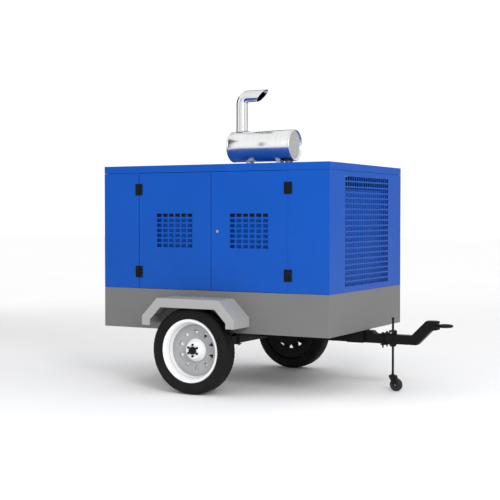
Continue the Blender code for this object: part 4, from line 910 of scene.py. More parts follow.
# ---- exhaust ------------------------------------------------------------------------------------
muffler_low, muffler_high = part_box("muffler")
MUFFLER = (muffler_high.z - muffler_low.z) / 2
MUFFLER_Z = muffler_low.z + MUFFLER
riser_low, riser_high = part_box("exhaust_riser")
RISER_X = (riser_low.x + riser_high.x) / 2
tail_low, tail_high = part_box("tailpipe")
TAIL = tail_high.y
TAIL_X = tail_low.x + TAIL
OUTLET_Z = tail_high.z - TAIL


def muffler():
    """A drum with dished ends rolled over at their rims."""
    size, roll = MUFFLER, 0.007
    end = [(0.0, 0.006), (size * 0.45, 0.0072), (size - 0.03, 0.0105), (size - 0.021, 0.0118)]
    end += [(size - 0.016, 0.0108), (size - 0.0135, 0.007)]
    for k in range(9):
        turn = math.radians(180 - 22.5 * k)
        end.append((size - roll + roll * math.cos(turn), roll - roll * math.sin(turn)))
    end += [(size - 0.001, 0.0135), (size - 0.0028, 0.015), (size - 0.0028, 0.0165), (size - 0.0012, 0.018)]
    outside = measured(muffler_low.x, end) + measured(muffler_high.x, end[::-1], -1)
    drum = turned(outside, "X", (0.0, MUFFLER_Z), 128)
    part("muffler_shell", drum, "polished", nodes=["muffler"], angle=50)


def foot(node):
    """A low bracket whose top follows the drum."""
    low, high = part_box(node)
    seat, wide, flange, top = MUFFLER + 0.0006, 0.04, 0.075, low.z + 0.006
    turns = [math.radians(270 + swing) for swing in spaced(-17, 17, 13)]
    arc = [(seat * math.cos(t), MUFFLER_Z + seat * math.sin(t)) for t in turns]
    outline = arc + [(wide, arc[-1][1]), (wide, top), (flange, top), (flange, low.z)]
    outline += [(-flange, low.z), (-flange, top), (-wide, top), (-wide, arc[0][1])]
    part(f"{node}_foot", prism(outline, "X", low.x, high.x), "panel", nodes=[node], bevel=0.0012)
    bolts = [hex_bolt(((low.x + high.x) / 2, y, top), (0, 0, 1), 0.007) for y in (-0.058, 0.058)]
    part(f"{node}_bolts", bolts, "steel")


def tailpipe():
    """An elbow with a mitred mouth, welded to the top of the drum."""
    tip = tail_high.x
    path = bent([(TAIL_X, 0.0, MUFFLER_Z + 0.05), (TAIL_X, 0.0, OUTLET_Z), (tip, 0.0, OUTLET_Z)], 0.068, 16)
    last = len(path) - 1

    def trimmed(i, spot):
        if i == 0:
            return Vector((spot.x, spot.y, MUFFLER_Z + math.sqrt((MUFFLER - 0.001) ** 2 - spot.y ** 2) + GAP))
        if i == last:
            return Vector((tip - (OUTLET_Z + TAIL - spot.z) * 0.98, spot.y, spot.z))
        return spot

    pipe = tube(path, TAIL, 64, TAIL - 0.003, shape=trimmed)
    part("tailpipe_tube", pipe, "chrome", nodes=["tailpipe"], angle=40)
    weld = []
    for x, y in disc(TAIL + 0.0015, (TAIL_X, 0.0), 96):
        weld.append((x, y, MUFFLER_Z + math.sqrt(MUFFLER ** 2 - y ** 2) + 0.001))
    part("tailpipe_weld", tube(weld, 0.0035, 10, closed=True), "steel", angle=60)


def riser():
    """The pipe from the engine's manifold up through the roof, cut to the drum's underside."""
    radius = (riser_high.x - riser_low.x) / 2
    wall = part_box("cylinder_head")[1].y + GAP
    manifold, away = riser_low.z + radius, riser_high.y - radius
    path = bent([
        (RISER_X, wall, manifold), (RISER_X, away, manifold), (RISER_X, away, manifold + 0.18),
        (RISER_X, 0.0, ROOF_TOP - 0.12), (RISER_X, 0.0, MUFFLER_Z - 0.1),
    ], 0.06, 10)
    last = len(path) - 1

    def seated(i, spot):
        if i < last:
            return spot
        return Vector((spot.x, spot.y, MUFFLER_Z - math.sqrt((MUFFLER + GAP) ** 2 - spot.y ** 2)))

    part("riser_pipe", tube(path, radius, 40, shape=seated), "hot_steel", nodes=["exhaust_riser"])
    flange = turned(hoop(radius + 0.0004, 0.055, wall + 0.002, wall + 0.012), "Y", (RISER_X, manifold), 40)
    part("riser_flange", flange, "hot_steel", bevel=0.001)


# ---- wheels and fenders -------------------------------------------------------------------------
RIM = 0.2645
RIM_VENTS, VENT_TURN = 10, math.radians(19.1)


def out(profile, side):
    """A profile measured outwards from the wheel's middle plane."""
    return measured(side * WHEEL_Y, profile, side)


def tyre(side, hand):
    widest = 0.085
    wall = [(RIM - 0.0235, 0.038), (RIM - 0.0235, 0.049)]
    wall += [(RIM + r, a) for r, a in (
        (0.0005, 0.0565), (0.002, 0.064), (0.0055, 0.0735), (0.009, 0.079), (0.0105, 0.0812),
        (0.0135, 0.0812), (0.015, 0.0805), (0.025, 0.084), (0.038, widest), (0.05, 0.0846), (0.052, 0.0852),
        (0.0545, 0.0852), (0.0565, 0.0838), (0.07, 0.0805), (0.079, 0.0765), (0.0865, 0.0705),
        (0.0915, 0.063),
    )]
    wall += [(TYRE - 0.0015, 0.054), (TYRE - 0.0005, 0.048)]
    for groove, tread in ((0.04, TYRE - 0.0003), (0.0135, TYRE)):
        floor_of_groove = tread - 0.0062
        wall += [(tread, groove + 0.0035), (floor_of_groove, groove + 0.0022)]
        wall += [(floor_of_groove, groove - 0.0022), (tread, groove - 0.0035)]
    inside = [(RIM + 0.001, 0.045), (TYRE - 0.026, widest - 0.02)]
    profile = wall + mirrored(wall) + [(r, -a) for r, a in inside] + inside[::-1]

    def lugs(turn, r, along):
        across = abs(abs(along) - WHEEL_Y)
        if r > TYRE - 0.012 and across > 0.05:
            return r - 0.0028 * (math.sin(turn * 72 + (0.6 if abs(along) > WHEEL_Y else 0.0)) > 0.86)
        return r

    casing = turned(out(profile, side), "Y", WHEEL, 288, lugs)
    part(f"tyre_{hand}_casing", casing, "tyre", f"{hand}_wheel", [f"tyre_{hand}"], angle=38)


def vent(turn, side):
    """A cutter for one of the disc's three-cornered vents, with soft corners."""
    corners = [Vector((r * math.cos(turn + s), r * math.sin(turn + s), 0.0))
               for r, s in ((0.124, 0.0), (0.1665, 0.132), (0.1665, -0.132))]
    loop = []
    for n in range(3):
        before, corner, after = corners[n - 1], corners[n], corners[(n + 1) % 3]
        loop += [corner.lerp(before, t * 0.55) for t in (0.3, 0.16, 0.05)]
        loop += [corner.lerp(after, t * 0.55) for t in (0.05, 0.16, 0.3)]
    outline = [(WHEEL[0] + p.x, WHEEL[1] + p.y) for p in loop]
    return prism(outline, "Y", side * (WHEEL_Y - 0.08), side * (WHEEL_Y - 0.03))


def rim(side, hand):
    face, well = -0.045, RIM - 0.0445
    dish = [(RIM + r, a) for r, a in (
        (-0.0225, -0.0655), (-0.006, -0.0668), (0.0, -0.064), (0.0, -0.0585), (-0.0245, -0.05),
        (-0.0395, -0.02), (-0.0395, 0.02), (-0.0245, 0.05), (0.0, 0.0585), (0.0004, 0.0625),
        (-0.0015, 0.0668), (-0.0075, 0.0675), (-0.0205, 0.064), (-0.0265, 0.056), (-0.03, 0.045),
        (-0.04, 0.018), (-0.045, 0.002),
    )]
    dish += [(well + r, a) for r, a in (
        (-0.003, -0.018), (-0.01, -0.034), (-0.0165, -0.0405), (-0.02, -0.0395), (-0.0235, -0.0405),
        (-0.029, face),
    )]
    dish += [
        (0.108, face), (0.101, face + 0.003), (0.096, face + 0.01), (0.072, 0.006), (0.069, 0.011),
        (0.064, 0.014), (0.0325, 0.014), (0.0325, 0.008), (0.062, 0.008), (0.066, 0.004), (0.093, -0.05),
        (0.1, -0.056), (well - 0.012, -0.06), (well, -0.062),
    ]
    shape = turned(out(dish, side), "Y", WHEEL, 144)
    vents = [vent(2 * math.pi * k / RIM_VENTS + VENT_TURN, side) for k in range(RIM_VENTS)]
    made = part(f"rim_{hand}_dish", shape, "rim", f"{hand}_wheel", [f"rim_{hand}"], cuts=vents, angle=40)
    for look in ("chassis", "disc"):
        made.data.materials.append(LOOKS[look][0])
    for polygon in made.data.polygons:
        reach = math.hypot(polygon.center.x - WHEEL[0], polygon.center.z - WHEEL[1])
        if polygon.normal.y * side < -0.2 and side * polygon.center.y < WHEEL_Y + 0.052:
            polygon.material_index = 1
        # Painted shade: the disc and the deep part of the dish take the darker grey, as if the barrel shades
        # them.
        elif 0.088 < reach < well - 0.006 and side * polygon.center.y < WHEEL_Y + 0.004:
            polygon.material_index = 2


def wheel(side, hand):
    body = f"{hand}_wheel"
    tyre(side, hand)
    rim(side, hand)
    drum = [
        (0.041, -0.066), (0.088, -0.066), (0.125, -0.069), (0.129, -0.074), (0.129, -0.108), (0.133, -0.109),
        (0.133, -0.113), (0.129, -0.114), (0.126, -0.119), (0.041, -0.119),
    ]
    part(f"brake_drum_{hand}", turned(out(drum, side), "Y", WHEEL, 72), "chassis", body)
    hub = [
        (0.0, 0.0045), (0.0205, 0.0045), (0.0205, -0.1245), (0.04, -0.1245), (0.04, -0.005), (0.048, -0.005),
        (0.048, 0.0076), (0.0315, 0.0076), (0.0315, 0.029), (0.03, 0.033), (0.0255, 0.0372), (0.015, 0.038),
        (0.0, 0.038),
    ]
    part(f"hub_{hand}_cap", turned(out(hub, side), "Y", WHEEL, 48), "chassis", body, [f"hub_{hand}"])
    nut = [(0.0, 0.0), (0.0105, 0.0), (0.0105, 0.009), (0.0092, 0.0125), (0.0055, 0.013), (0.0055, 0.018),
           (0.0045, 0.0195), (0.0, 0.0195)]
    nuts = []
    for k in range(6):
        turn = math.pi / 3 * k + math.pi / 6
        x, z = WHEEL[0] + 0.0475 * math.cos(turn), WHEEL[1] + 0.0475 * math.sin(turn)
        nuts.append(placed(turned(nut, "Z", (0.0, 0.0), 6), (x, side * (WHEEL_Y + 0.0142), z), (0, side, 0)))
    part(f"wheel_nuts_{hand}", nuts, "chassis", body, angle=30)
    stem = (WHEEL[0] + 0.206 * math.cos(0.4), WHEEL[1] + 0.206 * math.sin(0.4))
    valve = [(0.0, -0.034), (0.005, -0.034), (0.005, -0.022), (0.0036, -0.018), (0.0036, -0.002)]
    valve.append((0.0, -0.001))
    part(f"tyre_valve_{hand}", turned(out(valve, side), "Y", stem, 20), "rubber", body)


def fender(side, hand):
    low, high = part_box(f"fender_{hand}")
    centre, half = (low.x + high.x) / 2, (high.x - low.x) / 2
    top = high.z
    half_top, slope, band, hem = 0.293, 0.153, 0.076, 0.01
    inner, outer = SIDE + GAP, max(abs(low.y), abs(high.y))
    width = outer - inner
    corners = [(half, low.z), (half, top - slope), (half_top, top)]
    corners = [(-x, z) for x, z in corners] + corners[::-1]
    path = [Vector((centre + x, 0.0, z)) for x, z in corners]
    section = [
        (0.0, 0.0), (width, 0.0), (width, -band), (width - hem, -band), (width - hem, -band + SHEET),
        (width - SHEET, -band + SHEET), (width - SHEET, -SHEET), (0.0, -SHEET),
    ]
    bm = bmesh.new()
    rings = []
    for i, point in enumerate(path):
        before = (point - path[i - 1]).normalized() if i else (path[1] - point).normalized()
        after = (path[i + 1] - point).normalized() if i + 1 < len(path) else before
        mean = (before + after).normalized()
        normal, mitre = Vector((-mean.z, 0.0, mean.x)), 1.0 / mean.dot(before)
        ring = []
        for w, n in section:
            x, z = point.x + normal.x * n * mitre, point.z + normal.z * n * mitre
            ring.append(bm.verts.new((x, side * (inner + w), z)))
        rings.append(ring)
    skin_between(bm, rings)
    bm.faces.new(rings[0])
    bm.faces.new(rings[-1])
    part(f"fender_{hand}_shell", bm, "fender", nodes=[f"fender_{hand}"], bevel=0.0011, segments=3)
    bolts = [hex_bolt((centre + x, side * (inner + 0.016), top), (0, 0, 1), 0.0075)
             for x in (-0.24, 0.0, 0.24)]
    part(f"fender_bolts_{hand}", bolts, "steel")
    across = (side * (inner + 0.001), side * (outer - 0.02))
    deep = (top - SHEET - 0.03, top - SHEET - GAP)
    braces = [plate(span(centre + x, 0.02), across, deep) for x in (-0.2, 0.2)]
    part(f"fender_braces_{hand}", braces, "chassis", bevel=0.002)


# ---- chassis, drawbar and prop stand ------------------------------------------------------------
bar_low, bar_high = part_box("drawbar")
sleeve_low, sleeve_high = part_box("jack_sleeve")
JACK_X = (sleeve_low.x + sleeve_high.x) / 2


def axle_clamps():
    low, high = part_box("axle_tube")
    x, reach = (low.x + high.x) / 2, 0.043
    ubolts, nuts = [], []
    for y in (-0.45, 0.45):
        nuts += [hex_bolt((x + dx, y, low.z - 0.008), (0, 0, -1), 0.009) for dx in (-reach, reach)]
        ubolts.append(plate(span(x, 0.055), span(y, 0.024), (low.z - 0.008, low.z - GAP)))
        ubolts += [rod("Z", (x + dx, y), 0.005, low.z - GAP, high.z - 0.004, 16) for dx in (-reach, reach)]
    part("axle_clamps", ubolts, "chassis", bevel=0.0012)
    part("axle_clamp_nuts", nuts, "steel")


def towing_ring():
    low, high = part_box("tow_ring")
    bar, outer, bore = 0.012, 0.0675, 0.038
    ring_x, z = high.x - outer, (low.z + high.z) / 2
    profile = []
    for k in range(20):
        turn = 2 * math.pi * k / 20
        reach = 0.0147 if abs(math.cos(turn)) > 0.5 else 0.0145
        profile.append(((outer + bore) / 2 + reach * math.cos(turn), z + bar * math.sin(turn)))
    part("tow_ring_eye", turned(profile, "Z", (ring_x, 0.0), 96), "chassis", nodes=["tow_ring"])
    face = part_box("gooseneck")[1].x + GAP
    flange = plate((face, face + 0.012), span(0.0, 0.039), (low.z, high.z))
    outline = [(face + 0.011, -0.03), (face + 0.03, -0.024), (ring_x - 0.052, -0.02)]
    outline += [(x, -y) for x, y in reversed(outline)]
    part("tow_ring_plate", [flange, prism(outline, "Z", z - 0.01, z + 0.01)], "chassis", bevel=0.003)
    bolts = [hex_bolt((face + 0.012, y, z + rise), (1, 0, 0), 0.008)
             for y in (-0.027, 0.027) for rise in (-0.026, 0.026)]
    bolts += [hex_bolt((bar_high.x - 0.016, side * 0.039, bar_low.z + 0.042), (0, side, 0), 0.01)
              for side in (-1, 1)]
    part("hitch_bolts", bolts, "chassis", angle=30)


def jack_clamp():
    top, bottom, back = bar_high.z, bar_low.z, JACK_X - 0.072
    thick, half = 0.008, 0.062
    studs = []
    for side in (-1, 1):
        studs.append(rod("Z", (back, side * 0.047), 0.0062, bottom - 0.034, top + 0.021, 18, 0.001))
        for z, way in ((top + thick + 0.0002, 1), (bottom - thick - 0.0002, -1)):
            studs.append(hex_bolt((back, side * 0.047, z), (0, 0, way), 0.0105))
    plates = [plate((back - 0.018, JACK_X - 0.0345), span(0.0, half), levels)
              for levels in ((top + GAP, top + thick), (bottom - thick, bottom - GAP))]
    part("jack_clamp_plates", plates, "chassis", bevel=0.0015)
    part("jack_clamp_studs", studs, "chassis", angle=30)
    wedge = [(FRONT - 0.005, top + GAP), (FRONT + 0.085, top + GAP), (FRONT + 0.06, BASE_BOTTOM - 0.003),
             (FRONT - 0.005, BASE_BOTTOM - 0.003)]
    part("drawbar_gusset", prism(wedge, "Y", -0.039, 0.039), "chassis", bevel=0.002)


def jack():
    low, high = sleeve_low, sleeve_high
    bore, neck, collar = 0.0103, 0.03, 0.034
    top, bottom = bar_high.z + GAP, bar_low.z - GAP
    profile = [
        (bore, low.z), (0.021, low.z), (0.024, low.z + 0.002), (0.0325, bottom - 0.006),
        (collar, bottom - 0.003), (collar, bottom), (neck, bottom), (neck, top), (0.0335, top),
        (collar, top + 0.001), (collar, high.z - 0.004), (0.0325, high.z - 0.001), (neck, high.z),
        (bore, high.z),
    ]
    at = (JACK_X, middle("clamp_screw")[2])
    part(
        "jack_sleeve_body", turned(profile, "Z", (JACK_X, 0.0), 64), "chassis", nodes=["jack_sleeve"],
        cuts=[rod("Y", at, 0.0064, -0.05, 0.0)],
    )
    shank = rod("Y", at, 0.0058, -0.0395, -0.0104, 24)
    head = [(0.0, -0.04), (0.0098, -0.04), (0.0098, -0.05), (0.0085, -0.052), (0.0, -0.052)]
    shapes = [shank, turned(head, "Y", at, 6)]
    part("clamp_screw_bolt", shapes, "steel", "clamp", ["clamp_screw"], angle=30)

    low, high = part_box("jack_leg")
    end = [(0.0, 0.0), (0.0135, 0.0), (0.014, 0.001), (0.014, 0.009), (0.0125, 0.011), (0.0095, 0.012)]
    tip = [(0.0095, 0.008), (0.013, 0.0078), (0.0138, 0.006), (0.0135, 0.0025), (0.011, 0.0), (0.0, 0.0)]
    profile = measured(low.z, end) + measured(high.z, tip, -1)
    part("jack_leg_rod", turned(profile, "Z", (JACK_X, 0.0), 32), "chassis", "leg", ["jack_leg"])


def caster():
    low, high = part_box("caster_wheel")
    radius, half = (high.z - low.z) / 2, 0.017
    axis = ((low.x + high.x) / 2, low.z + radius)
    tread = [
        (0.0, -half - 0.0004), (0.013, -half - 0.0004), (0.015, -half + 0.003), (0.036, -half + 0.004),
        (0.039, -half), (0.047, -half + 0.0006), (0.0525, -half + 0.005), (radius, -0.006),
    ]
    shape = turned(tread + mirrored(tread), "Y", axis, 72)
    part("caster_tyre", shape, "rubber", "caster", ["caster_wheel"])
    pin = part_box("caster_fork")[1].y + 0.004
    part("caster_axle", rod("Y", axis, 0.005, -pin, -half - 0.0005, 20, 0.001), "steel", "caster")
    part("caster_axle_nut", rod("Y", axis, 0.005, half + 0.0005, pin, 20, 0.001), "steel", "caster")


# ---- power set ----------------------------------------------------------------------------------
head_low, head_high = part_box("cylinder_head")
CRANK, FAN = (0.0, middle("crank_pulley")[2]), (0.0, middle("cooling_fan")[2])
ENGINE_FRONT, ENGINE_REAR, ENGINE_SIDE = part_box("crank_pulley")[0].x - GAP, head_low.x - 0.02, 0.12


def engine():
    front, rear, half, level = ENGINE_FRONT, ENGINE_REAR, ENGINE_SIDE, CRANK[1]
    ribs, bolts = [], []
    for x in spaced(rear + 0.03, front - 0.03, 9):
        for side in (-1, 1):
            across = (side * half, side * (half + 0.008))
            ribs.append(plate(span(x, 0.004), across, (level - 0.06, level + 0.15)))
    for side in (-1, 1):
        rail = (side * half, side * (half + 0.01))
        ribs.append(plate((rear + 0.01, front - 0.01), rail, (level - 0.08, level - 0.062)))
        cover = side * (half + 0.014)
        ribs.append(plate((rear + 0.05, front - 0.05), (side * half, cover), (level + 0.165, level + 0.245)))
        for x in spaced(rear + 0.065, front - 0.065, 7):
            bolts += [hex_bolt((x, cover, level + rise), (0, side, 0), 0.006) for rise in (0.173, 0.237)]
    part("block_ribs", ribs, "engine", bevel=0.002)
    for x in spaced(head_low.x + 0.03, head_high.x - 0.03, 6):
        bolts += [hex_bolt((x, side * 0.052, head_high.z), (0, 0, 1), 0.007) for side in (-1, 1)]
    part("engine_bolts", bolts, "steel", angle=30)
    covers = [plate(span(x, 0.052), span(0.0, 0.038), (head_high.z + GAP, head_high.z + 0.026))
              for x in spaced(head_low.x + 0.07, head_high.x - 0.07, 3)]
    part("rocker_covers", covers, "alloy", bevel=0.009, segments=3)
    cap = rod("Z", (head_low.x + 0.07, 0.0), 0.022, head_high.z + 0.0265, head_high.z + 0.044, 32, 0.003)
    part("oil_filler", cap, "plastic")
    can = rod("Y", (front - 0.12, level - 0.02), 0.045, -half - 0.01, -half - 0.11, 40, 0.006)
    part("oil_filter", can, "yellow")
    starter = [rod("X", (half + 0.05, level - 0.03), 0.04, rear + 0.02, rear + 0.19, 36, 0.005),
               rod("X", (half + 0.06, level + 0.036), 0.022, rear + 0.03, rear + 0.14, 28, 0.004)]
    part("starter_motor", starter, "plastic")


def pulley(name, centre, radius, body, nodes):
    groove = radius - 0.008
    profile = [
        (0.0, 0.0), (radius - 0.001, 0.0), (radius, 0.001), (radius, 0.007), (groove, 0.011), (groove, 0.019),
        (radius, 0.023), (radius, 0.029), (radius - 0.001, 0.03), (radius - 0.01, 0.03),
        (radius - 0.014, 0.026), (0.03, 0.026), (0.027, 0.03), (0.0, 0.03),
    ]
    part(name, turned(measured(ENGINE_FRONT + GAP, profile), "X", centre, 72), "steel", body, nodes)


def belt_drive():
    pulley("crank_pulley_wheel", CRANK, 0.08, "crank", ["crank_pulley"])
    pulley("fan_pulley_wheel", FAN, 0.05, "fan", [])
    big, small = 0.0755, 0.0455
    lean = math.asin((big - small) / (FAN[1] - CRANK[1]))
    loop = disc(big, CRANK, 30, math.pi - lean, math.pi + 2 * lean)
    loop += disc(small, FAN, 30, lean, math.pi - 2 * lean)
    path = [(ENGINE_FRONT + GAP + 0.015, u, v) for u, v in loop]
    part("fan_belt", tube(path, 0.0036, 8, closed=True), "rubber", angle=60)


def blade(turn, x):
    """A fan blade: a thin curved section that narrows its pitch towards the tip."""
    section = ((-0.5, 0.0), (-0.25, 0.1), (0.0, 0.13), (0.25, 0.1), (0.5, 0.0), (0.25, 0.04), (0.0, 0.065),
               (-0.25, 0.04))
    bm = bmesh.new()
    rings = []
    for t in spaced(0.0, 1.0, 8):
        r = 0.052 + (0.235 - 0.052) * t
        chord, twist = 0.058 + 0.03 * math.sin(t * 2.2), math.radians(36 - 16 * t)
        ring = []
        for u, w in section:
            a, b = chord * u, chord * w
            at = turn + (a * math.cos(twist) + b * math.sin(twist)) / r
            deep = max(-0.0135, min(0.0135, -a * math.sin(twist) + b * math.cos(twist)))
            ring.append(bm.verts.new((x + deep, r * math.cos(at), FAN[1] + r * math.sin(at))))
        rings.append(ring)
    skin_between(bm, rings)
    bm.faces.new(rings[0])
    bm.faces.new(rings[-1])
    return bm


def fan():
    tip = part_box("cooling_fan")[1].x
    shapes = [blade(2 * math.pi * k / 7, tip - 0.014) for k in range(7)]
    shapes.append(rod("X", FAN, 0.056, tip - 0.028, tip - 0.001, 48, 0.004))
    shapes.append(rod("X", FAN, 0.024, ENGINE_FRONT + 0.031, tip - 0.027, 32))
    part("fan_rotor", shapes, "plastic", "fan", ["cooling_fan"], angle=45)


def radiator():
    low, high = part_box("radiator")
    tank, cheek = 0.06, 0.022
    core = (low.z + tank, high.z - tank)
    tubes = [plate((low.x + 0.006, high.x - 0.006), span(y, 0.0016), core)
             for y in spaced(low.y + 0.03, high.y - 0.03, 46)]
    part("radiator_tubes", tubes, "core")
    fins = plate((low.x + 0.01, high.x - 0.01), (low.y + 0.024, high.y - 0.024), core)
    part("radiator_fins", fins, "core", nodes=["radiator"], bevel=0.001)
    tanks = [slab((low.x, low.y, z), (high.x, high.y, z + tank - GAP)) for z in (low.z, core[1] + GAP)]
    tanks += [plate((low.x, high.x), (y, y + cheek), core) for y in (low.y, high.y - cheek)]
    part("radiator_tanks", tanks, "plastic", bevel=0.004, segments=3)
    cap = rod("Z", ((low.x + high.x) / 2, -0.25), 0.022, high.z + GAP, high.z + 0.018, 32, 0.003)
    part("radiator_cap", cap, "steel")
    beside, front, level = low.x - 0.07, ENGINE_FRONT, CRANK[1]
    top = [(low.x - GAP, 0.33, high.z - 0.03), (beside, 0.33, high.z - 0.03),
           (beside - 0.07, 0.15, head_high.z - 0.05), (head_high.x + GAP, 0.06, head_high.z - 0.06)]
    lower = [(low.x - GAP, -0.33, low.z + 0.03), (beside, -0.33, low.z + 0.03),
             (front + 0.04, -0.2, level - 0.04), (front - 0.06, -ENGINE_SIDE - 0.012, level - 0.02)]
    part("radiator_hoses", [tube(bent(path, 0.05), 0.021, 24) for path in (top, lower)], "rubber")


def alternator():
    low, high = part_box("alternator")
    hub, level = (0.0, *CRANK), CRANK[1]
    fins = []
    for k in range(28):
        turn = 2 * math.pi * k / 28
        if math.sin(turn) >= -0.72:
            fin = slab((low.x + 0.06, -0.003, 0.166), (high.x - 0.06, 0.003, 0.18))
            fins.append(swung(fin, hub, turn - math.pi / 2))
    part("alternator_fins", fins, "alternator", bevel=0.0015)
    box = plate((low.x + 0.12, high.x - 0.15), span(0.0, 0.11), (level + 0.176, level + 0.3))
    part("alternator_terminals", box, "alternator", bevel=0.006, segments=3)
    guard = [turned(hoop(r, r + 0.006, low.x - 0.004, low.x - GAP), "X", CRANK, 64)
             for r in (0.04, 0.07, 0.1, 0.124)]
    for k in range(6):
        spoke = slab((low.x - 0.0036, -0.004, 0.0), (low.x - GAP, 0.004, 0.135))
        guard.append(swung(spoke, hub, math.pi / 3 * k))
    part("alternator_guard", guard, "steel", angle=30)


def air_cleaner():
    low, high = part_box("air_filter")
    radius, y = 0.09, 0.4
    z, waist, neck = low.z + radius, radius - 0.002, radius - 0.02
    profile = measured(low.x, [(0.0, 0.0), (0.06, 0.0), (0.08, 0.003), (waist, 0.012)])
    for rib in row(low.x + 0.048, 4, 0.012):
        profile += measured(rib, [(waist, 0.0), (radius, 0.002), (radius, 0.005), (waist, 0.007)])
    profile += measured(high.x, [
        (waist, 0.11), (radius, 0.106), (radius, 0.098), (radius - 0.004, 0.094), (radius - 0.004, 0.058),
        (neck, 0.05), (neck, 0.0), (0.0, 0.0),
    ], -1)
    part("air_cleaner", turned(profile, "X", (y, z), 72), "plastic", nodes=["air_filter"])
    bracket = plate(span(BODY_X, 0.02), span(y, 0.03), (z + radius - 0.01, high.z))
    part("air_cleaner_bracket", bracket, "chassis", bevel=0.002)
    bands = [turned(hoop(radius + 0.0004, radius + 0.003, x, x + 0.02), "X", (y, z), 64)
             for x in (BODY_X - 0.01, BODY_X + 0.04)]
    part("air_cleaner_bands", bands, "steel")
    x, port = low.x + 0.06, head_high.z - 0.11
    intake = [(x, y, low.z), (x, y, low.z - 0.06), (x, 0.18, port), (x, head_high.y + 0.0005, port)]
    part("intake_hose", tube(bent(intake, 0.055), 0.034, 28), "rubber")


def battery():
    low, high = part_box("battery")
    seam = high.z - 0.03
    case = [slab(low, (high.x, high.y, seam))]
    case.append(slab((low.x, low.y, seam + GAP), (high.x, high.y, high.z - 0.004)))
    part("battery_case", case, "plastic", nodes=["battery"], bevel=0.004, segments=3)
    posts = [rod("Z", (x, high.y - 0.03), 0.009, high.z - 0.0035, high.z + 0.012, 20, 0.001)
             for x in (low.x + 0.03, high.x - 0.03)]
    part("battery_posts", posts, "alloy")
    across, out_x = span((low.y + high.y) / 2, 0.014), (low.x - 0.004, high.x + 0.004)
    strap = [
        plate((out_x[0], low.x - GAP), across, (low.z, high.z)),
        plate((high.x + GAP, out_x[1]), across, (low.z, high.z)),
        plate(out_x, across, (high.z + GAP, high.z + 0.004)),
    ]
    part("battery_strap", strap, "chassis", bevel=0.001)


def fuel_cap():
    low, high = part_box("fuel_cap")
    x, y = middle("fuel_cap")[:2]
    knurl = [(0.0, 0.0), (0.043, 0.0), (0.045, 0.003), (0.045, 0.021), (0.0425, 0.025), (0.0, 0.025)]

    def flutes(turn, radius, along):
        return radius - 0.0012 * (math.sin(turn * 30) > 0.3) * (radius > 0.044)

    knob = turned(measured(low.z, knurl), "Z", (x, y), 120, flutes)
    grip = plate(span(x, 0.034), span(y, 0.006), (low.z + 0.0245, high.z))
    part("fuel_cap_knob", [knob, grip], "plastic", "cap", ["fuel_cap"])


# ---- build --------------------------------------------------------------------------------------
# The CAD nodes that stay, each with its look, bevel and bevel segments.
KEPT = {
    "control_panel": ("panel", 0.0015, 2), "key_switch": ("steel", 0.0006, 2),
    "breaker_lever": ("plastic", 0.001, 2), "base_bund": ("base", 0.003, 3),
    "chassis_frame": ("chassis", 0.002, 2), "drawbar_socket": ("chassis", 0.002, 2),
    "drawbar": ("chassis", 0.006, 3), "gooseneck": ("chassis", 0.006, 3),
    "axle_tube": ("chassis", 0.004, 2), "caster_fork": ("chassis", 0.0015, 2),
    "canopy_hoop": ("canopy", 0.003, 2), "engine_bed": ("chassis", 0.003, 2),
    "rear_deck": ("base", 0.001, 2), "fuel_tank": ("tank", 0.006, 3),
    "alternator": ("alternator", 0.002, 2), "fan_shroud": ("plastic", 0.002, 2),
    "engine_block": ("engine", 0.004, 2), "cylinder_head": ("alloy", 0.004, 2),
    "swing_arm_right": ("chassis", 0.002, 2), "swing_arm_left": ("chassis", 0.002, 2),
}
for node, finish in KEPT.items():
    keep(node, *finish)
canopy_ends()
rear_end()
muffler()
tailpipe()
for node in ("muffler_saddle_rear", "muffler_saddle_front"):
    foot(node)
riser()
axle_clamps()
towing_ring()
jack_clamp()
jack()
caster()
engine()
belt_drive()
fan()
radiator()
alternator()
air_cleaner()
battery()
fuel_cap()
for side, hand in HANDS:
    canopy_side(side, hand)
    wheel(side, hand)
    fender(side, hand)

# ---- studio -------------------------------------------------------------------------------------
floor_mesh = bmesh.new()
bmesh.ops.create_grid(floor_mesh, x_segments=1, y_segments=1, size=60.0)
floor_data = bpy.data.meshes.new("floor")
floor_mesh.to_mesh(floor_data)
floor_mesh.free()
floor = bpy.data.objects.new("floor", floor_data)
paper = surface("floor_paper", (0.97, 0.97, 0.97), 0.85, mottle=0.01, patch=0.5, bump=0.0)
floor_data.materials.append(paper)
scene.collection.objects.link(floor)

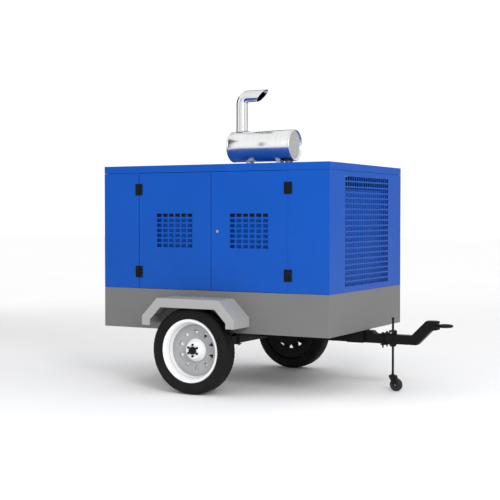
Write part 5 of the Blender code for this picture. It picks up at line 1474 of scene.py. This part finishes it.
world = bpy.data.worlds.new("studio")
scene.world = world
world.use_nodes = True
sky_nodes, sky_links = world.node_tree.nodes, world.node_tree.links
direction = sky_nodes.new("ShaderNodeTexCoord").outputs["Generated"]
split = sky_nodes.new("ShaderNodeSeparateXYZ")
sky_links.new(direction, split.inputs[0])
bands = sky_nodes.new("ShaderNodeValToRGB")
sky_links.new(split.outputs["Z"], bands.inputs[0])
for stop, height, bright in zip(bands.color_ramp.elements, (0.35, 0.95), (1.0, 0.9)):
    stop.position, stop.color = height, (bright, bright, bright, 1.0)
sky_links.new(bands.outputs["Color"], sky_nodes["Background"].inputs["Color"])
sky_nodes["Background"].inputs["Strength"].default_value = 1.07


def flag(name, position, width, height, look):
    """A studio card that the polished metal reflects and the camera doesn't see."""
    bm = bmesh.new()
    bmesh.ops.create_grid(bm, x_segments=1, y_segments=1, size=0.5)
    bmesh.ops.scale(bm, vec=(width, height, 1.0), verts=bm.verts)
    mesh = bpy.data.meshes.new(name)
    bm.to_mesh(mesh)
    bm.free()
    mesh.materials.append(look)
    obj = bpy.data.objects.new(name, mesh)
    obj.location = position
    obj.rotation_euler = (Vector((0.0, 0.0, 2.2)) - Vector(position)).to_track_quat("Z", "Y").to_euler()
    scene.collection.objects.link(obj)
    obj.visible_camera = False


BLACK_CARD = surface("black_card", (0.02, 0.02, 0.02), 0.9, mottle=0.05, patch=0.5, bump=0.0)
GREY_CARD = surface("grey_card", (0.5, 0.5, 0.5), 0.9, mottle=0.05, patch=0.5, bump=0.0)
flag("card_left", (-8.0, 0.5, 3.6), 6.0, 5.0, BLACK_CARD)
flag("card_near_left", (-3.2, -8.0, 3.6), 1.0, 4.0, BLACK_CARD)
flag("card_near_right", (7.6, -4.4, 3.6), 1.4, 4.0, BLACK_CARD)
flag("card_behind", (5.4, 8.6, 3.2), 6.5, 4.6, GREY_CARD)
flag("card_above", (-2.6, 5.0, 8.4), 8.0, 1.8, BLACK_CARD)


def area(name, position, target, size, power):
    light = bpy.data.lights.new(name, "AREA")
    light.shape, light.size, light.energy = "DISK", size, power
    obj = bpy.data.objects.new(name, light)
    obj.location = position
    obj.rotation_euler = (Vector(target) - Vector(position)).to_track_quat("-Z", "Y").to_euler()
    scene.collection.objects.link(obj)


area("key", (5.5, -6.0, 4.5), (0.0, 0.0, 1.0), 3.0, 300.0)
scene.view_settings.view_transform = "Standard"
scene.view_settings.look = "None"

bpy.context.view_layer.update()
